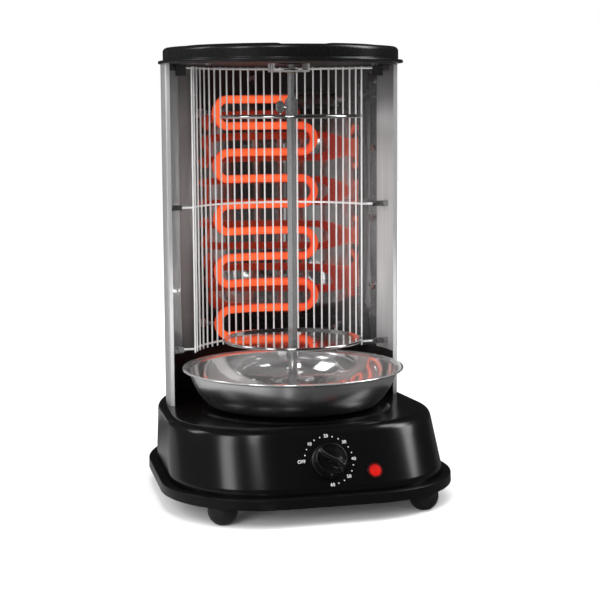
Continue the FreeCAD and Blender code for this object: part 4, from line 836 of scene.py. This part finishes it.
def makeCap():
    # a turned shell whose flat top is a height field: two low pads, left and right of a valley,
    # whose edges rise as 3 s^2 - 2 s^3 over a soft width
    plan = capPlan
    low, high = nodeBox("cap_shell")
    rim = (high[0] - low[0]) / 2
    top = high[2] - plan["padHeight"]
    outer = plan["wallRadius"]
    inner, under, flange = outer - plan["wall"], top - plan["wall"], low[2] + plan["flange"]
    profile = np.concatenate([
        [(0.0, under), (plan["underRadius"], under)],
        rounded([(inner, under), (inner, low[2]), (rim, low[2], plan["rimRound"]),
                 (rim, flange, plan["flangeRound"]), (outer, flange, plan["flangeRound"]),
                 (outer, top, plan["edge"]), (outer - plan["edgeWidth"], top)], plan["roundSteps"]),
        atHeight(np.linspace(outer - plan["topWidth"], 0.0, plan["topRings"]), top),
    ])
    points = turned(profile, plan["around"])
    x, y, z = np.moveaxis(points, -1, 0)

    def soft(distance):
        share = np.clip(distance / plan["padSoft"], 0, 1)
        return share * share * (3 - 2 * share)

    pads = soft(plan["padRadius"] - np.hypot(x, y)) * soft(np.abs(x) - plan["valley"])
    z += np.where(z > top - plan["topWithin"], pads * plan["padHeight"], 0)
    piece = meshFromGrid("capShell", points + [0, housingY, 0], wrapV=True)
    sharpen(piece, meshPlan["sharpCap"])
    dress(piece, "base", "cap_paint", "capPaint", "cap_shell")


makePan()
makeCap()
print("pan and cap made")


# knob and printed dial, on the leaning face
knobPlan = {
    "radius": 17.5 * mm, "low": 0.8 * mm, "top": 14.5 * mm, "hub": 8.5 * mm, "skirt": 3 * mm,
    "skirtEdge": 0.4 * mm, "skirtRound": 0.8 * mm, "neckIn": 1.2 * mm, "neckUp": 0.3 * mm,
    "neckRound": 0.5 * mm, "gripIn": 2.2 * mm, "gripDown": 1.2 * mm, "gripRound": 0.8 * mm,
    "rimIn": 3.2 * mm, "faceIn": 3.4 * mm, "faceDown": 1.1 * mm, "faceWithin": 1.15 * mm, "faceRings": 40,
    "roundSteps": 5, "around": 144, "ridgeTurn": math.radians(-48), "ridgeHalf": 3.4 * mm,
    "ridgeSway": 2.2 * mm, "swayRate": 2.6, "ridgeRise": 1.1 * mm, "bowlRim": 3 * mm, "bowlDepth": 6.2 * mm,
}
faceNormal = (0, -math.cos(faceTilt), math.sin(faceTilt))
faceUp = (0, math.sin(faceTilt), math.cos(faceTilt))


def onFace(points):
    # local x runs right along the face, y up along it and z out of it, from the knob's axis
    return points @ np.array([(1, 0, 0), faceUp, faceNormal]) + np.array(knobJoint["pos_m"])


def makeKnob():
    # a turned rim whose face is a height field: a bowl 1 - (r / R)^4 with a grip ridge
    # exp(-(across / half)^4) left standing, whose line sways as a sine along the knob
    plan = knobPlan
    radius, low, top = plan["radius"], plan["low"], plan["top"]
    skirt, face = low + plan["skirt"], top - plan["faceDown"]
    profile = np.concatenate([
        rounded([(plan["hub"], low), (radius, low, plan["skirtEdge"]), (radius, skirt, plan["skirtRound"]),
                 (radius - plan["neckIn"], skirt + plan["neckUp"], plan["neckRound"]),
                 (radius - plan["gripIn"], top - plan["gripDown"], plan["gripRound"]),
                 (radius - plan["rimIn"], face)], plan["roundSteps"]),
        atHeight(np.linspace(radius - plan["faceIn"], 0, plan["faceRings"]), face),
    ])
    points = turned(profile, plan["around"])
    x, y, z = np.moveaxis(points, -1, 0)
    along = x * math.cos(plan["ridgeTurn"]) + y * math.sin(plan["ridgeTurn"])
    across = y * math.cos(plan["ridgeTurn"]) - x * math.sin(plan["ridgeTurn"])
    across = across - plan["ridgeSway"] * np.sin(along / radius * plan["swayRate"])
    ridge = np.exp(-(across / plan["ridgeHalf"]) ** 4)
    bowl = np.clip(1 - (np.hypot(x, y) / (radius - plan["bowlRim"])) ** 4, 0, 1)
    change = plan["ridgeRise"] * ridge * bowl - plan["bowlDepth"] * bowl * (1 - ridge)
    z += np.where(z > top - plan["faceWithin"], change, 0)
    piece = meshFromGrid("timerKnob", onFace(points), wrapV=True, closeFirst=True)
    sharpen(piece, meshPlan["sharpSheet"])
    dress(piece, "timer", "knob_plastic", "knobPlastic", "timer_knob")


dialPlan = {
    "words": ("OFF", "10", "20", "30", "40", "50", "60"), "textSize": 4.6 * mm, "thick": 0.15 * mm,
    "start": 180, "wordStep": 45, "dotStep": 15, "dots": (1, 2), "dotRing": 24.3 * mm,
    "dotRadius": 0.62 * mm, "dotHalf": 0.07 * mm, "dotAround": 20, "offOut": 3.4 * mm,
    "numberOut": 0.4 * mm, "aside": 0.8 * mm, "up": 1.6 * mm,
}


def printed(word):
    # a flat letter shape made a thin mesh before its place is applied
    curve = bpy.data.curves.new("print", "FONT")
    curve.body = word
    curve.size = dialPlan["textSize"]
    curve.align_x = "CENTER"
    curve.align_y = "CENTER"
    curve.extrude = dialPlan["thick"] / 2
    letters = linkedObject("print", curve)
    mesh = bpy.data.meshes.new_from_object(letters.evaluated_get(bpy.context.evaluated_depsgraph_get()))
    bpy.data.objects.remove(letters)
    return linkedObject("print", mesh)


def dialDot():
    radius, half = dialPlan["dotRadius"], dialPlan["dotHalf"]
    profile = np.array([(0, -half), (radius, -half), (radius, half), (0, half)])
    return meshFromGrid("dot", turned(profile, dialPlan["dotAround"]), wrapV=True)


def makeDial():
    # words on a ring round the knob, with dots on the way to the next word
    plan = dialPlan
    marks = []

    def settle(piece, ring, degrees):
        bearing = math.radians(degrees)
        flat = np.empty(len(piece.data.vertices) * 3, np.float32)
        piece.data.vertices.foreach_get("co", flat)
        local = flat.reshape(-1, 3) + [ring * math.cos(bearing) + plan["aside"],
                                       ring * math.sin(bearing) + plan["up"], plan["thick"] / 2]
        piece.data.vertices.foreach_set("co", onFace(local).astype(np.float32).ravel())
        marks.append(piece)

    for number, word in enumerate(plan["words"]):
        degrees = plan["start"] - plan["wordStep"] * number
        out = plan["offOut"] if word == "OFF" else plan["numberOut"]
        settle(printed(word), plan["dotRing"] + out, degrees)
        if word == plan["words"][-1]:
            break
        for part in plan["dots"]:
            settle(dialDot(), plan["dotRing"], degrees - plan["dotStep"] * part)
    dress(joined("dialMarks", marks), "base", None, "dialPrint")


makeKnob()
makeDial()
print("controls made")


# finishes of the pieces that keep their own solids
keptFinishes = {
    "zincSteel": ("foot_screws", "base_screws", "guard_brackets", "wing_screws", "guard_clips", "guard_screws",
                  "element_clamps", "cap_screws", "timer_nut", "gear_motor", "motor_bracket", "motor_screws"),
    "barSteel": ("timer_shaft", "drive_shaft", "drive_socket", "spit_rod", "upper_collar", "lower_collar",
                 "upper_thumbscrew", "lower_thumbscrew"),
    "blackSheet": ("bottom_plate", "ceiling_plate", "corner_brackets"),
    "brass": ("thermal_cutout", "top_bearing_bush", "deck_bush"),
    "paleCase": ("timer_body", "terminal_block"),
    "lampGlow": ("lamp_lens", "neon_lamp"),
    "discSteel": ("upper_disc", "lower_disc"),
    "bracketSteel": ("top_bearing_bracket",),
    "coldEnd": ("element_terminals",),
    "lampBezel": ("lamp_holder",),
    "plinthPlastic": ("cable_gland",),
}
for finishName, nodeNames in keptFinishes.items():
    for nodeName in nodeNames:
        finish(frame["nodes"][nodeName], finishName)
print("finishes set")


# floor, room, lights and camera; "room" gives the tone that mirrors see at each share of the way
# from left to right, and "lift" the floor's own glow at the near and far end of "far"
stagePlan = {
    "half": 6.0, "floorTone": 0.96, "floorRough": 0.7, "floorSpecular": 0.0, "far": (0.35, 1.4),
    "lift": (0.0, 0.28),
    "room": ((0.0, 0.50), (0.18, 0.42), (0.30, 0.07), (0.330, 0.07), (0.336, 1.0), (0.353, 1.0),
             (0.359, 0.07), (0.70, 0.07), (0.92, 0.12)),
    "mirroredFloor": 1.0, "mirroredWalls": 0.32, "ambient": 0.80, "seen": 1.0,
}


def roomTone(nodes, links, direction):
    # what mirrors see along a direction: dark ahead and behind, one narrow pale band left of the
    # front, a pale wall on the left and a dim one on the right
    across = separated(nodes, links, direction)["X"]
    return ramped(nodes, links, ranged(nodes, links, across, (-1.0, 1.0), smooth=False), stagePlan["room"])


def makeFloorMaterial():
    # white paper, a little brighter far out so that no horizon shows; mirrors see the room's tone
    plan = stagePlan
    material, nodes, links, shader = newMaterial("floorWhite")
    shader.inputs["Base Color"].default_value = (plan["floorTone"],) * 3 + (1,)
    shader.inputs["Roughness"].default_value = plan["floorRough"]
    shader.inputs["Specular IOR Level"].default_value = plan["floorSpecular"]
    place = objectSpace(nodes)["Object"]
    distance = nodes.new("ShaderNodeVectorMath")
    distance.operation = "LENGTH"
    links.new(place, distance.inputs[0])
    shader.inputs["Emission Color"].default_value = (1, 1, 1, 1)
    links.new(ranged(nodes, links, distance.outputs["Value"], plan["far"], plan["lift"]),
              shader.inputs["Emission Strength"])
    outward = nodes.new("ShaderNodeVectorMath")
    outward.operation = "NORMALIZE"
    links.new(place, outward.inputs[0])
    mirrored = nodes.new("ShaderNodeEmission")
    links.new(roomTone(nodes, links, outward.outputs["Vector"]), mirrored.inputs["Color"])
    mirrored.inputs["Strength"].default_value = plan["mirroredFloor"]
    glossy = nodes.new("ShaderNodeLightPath").outputs["Is Glossy Ray"]
    either = shadersMixed(material.node_tree, glossy, shader.outputs["BSDF"], mirrored.outputs["Emission"])
    links.new(either, nodes["Material Output"].inputs["Surface"])
    return material


def makeFloor():
    half = stagePlan["half"]
    corners = [(-half, -half, 0), (half, -half, 0), (half, half, 0), (-half, half, 0)]
    floor = bpy.data.meshes.new("floor")
    floor.from_pydata(corners, [], [(0, 1, 2, 3)])
    floor.materials.append(makeFloorMaterial())
    linkedObject("floor", floor)


def makeWorld():
    # even white light for matt surfaces, white for the eye, the toned room for mirrors
    plan = stagePlan
    world = bpy.data.worlds.new("studio")
    world.use_nodes = True
    bpy.context.scene.world = world
    tree = world.node_tree

    def background(node, strength):
        node.inputs["Color"].default_value = (1, 1, 1, 1)
        node.inputs["Strength"].default_value = strength
        return node

    even = background(tree.nodes["Background"], plan["ambient"])
    seen = background(tree.nodes.new("ShaderNodeBackground"), plan["seen"])
    mirrored = background(tree.nodes.new("ShaderNodeBackground"), plan["mirroredWalls"])
    direction = tree.nodes.new("ShaderNodeTexCoord").outputs["Generated"]
    tree.links.new(roomTone(tree.nodes, tree.links, direction), mirrored.inputs["Color"])
    rays = tree.nodes.new("ShaderNodeLightPath").outputs
    unseen = shadersMixed(tree, rays["Is Glossy Ray"], even.outputs["Background"],
                          mirrored.outputs["Background"])
    whole = shadersMixed(tree, rays["Is Camera Ray"], unseen, seen.outputs["Background"])
    tree.links.new(whole, tree.nodes["World Output"].inputs["Surface"])


lightPlan = {
    "leftBox": {"place": (-1.6, -1.1, 1.6), "aim": (0, 0, 0.3), "size": (0.5, 1.0), "power": 10},
    "farLeftBox": {"place": (-2.0, 0.5, 1.6), "aim": (0, 0, 0.3), "size": (0.4, 1.0), "power": 8},
    "rightBox": {"place": (2.0, -0.4, 1.4), "aim": (0, 0, 0.3), "size": (0.6, 1.0), "power": 13},
    "frontBox": {"place": (-0.34, -1.03, 1.55), "aim": (0, -0.1, 0.1), "size": (0.28, 0.7), "power": 4},
    "highRightBox": {"place": (1.2, -0.1, 1.5), "aim": (0, -0.1, 0.1), "size": (0.5, 0.8), "power": 8},
    "topBox": {"place": (0, -0.3, 2.2), "aim": (0, 0, 0.1), "size": (1.4, 1.4), "power": 14,
               "mirrored": False},
    "fillBox": {"place": (-1.6, -1.7, 0.6), "aim": (0, 0, 0.3), "size": (1.2, 1.0), "power": 36,
                "mirrored": False},
}


def makeLight(name, place, aim, size, power, mirrored=True):
    light = bpy.data.lights.new(name, "AREA")
    light.shape = "RECTANGLE"
    light.size, light.size_y = size
    light.energy = power
    lamp = linkedObject(name, light)
    lamp.location = place
    lamp.visible_glossy = mirrored
    lamp.rotation_euler = (Vector(aim) - Vector(place)).to_track_quat("-Z", "Y").to_euler()


cameraPlan = {
    "left": 0.4070, "before": 1.5515, "up": 0.4015, "turn": -14.7, "yaw": 0.275, "pitch": 7.21, "roll": -0.34,
    "lens": 93.6, "sensor": 36,
}


def makeCamera():
    # turned by turn - yaw about the upright, pitched down and rolled about its own line of sight
    plan = cameraPlan
    turn = math.radians(plan["turn"]) - math.radians(plan["yaw"])
    pitch, roll = math.radians(plan["pitch"]), math.radians(plan["roll"])
    ahead = Vector((-math.sin(turn) * math.cos(pitch), math.cos(turn) * math.cos(pitch), -math.sin(pitch)))
    right = Vector((math.cos(turn), math.sin(turn), 0))
    up = right.cross(ahead)
    across = right * math.cos(roll) + up * math.sin(roll)
    upright = up * math.cos(roll) - right * math.sin(roll)
    data = bpy.data.cameras.new("camera")
    data.sensor_width = plan["sensor"]
    data.lens = plan["lens"]
    camera = linkedObject("camera", data)
    axes = Matrix((across, upright, -ahead)).transposed().to_4x4()
    camera.matrix_world = Matrix.Translation((-plan["left"], spitY - plan["before"], plan["up"])) @ axes
    bpy.context.scene.camera = camera


makeFloor()
makeWorld()
for lightName, lightLook in lightPlan.items():
    makeLight(lightName, **lightLook)
makeCamera()
bpy.context.scene.view_settings.view_transform = "Standard"
print("stage made")
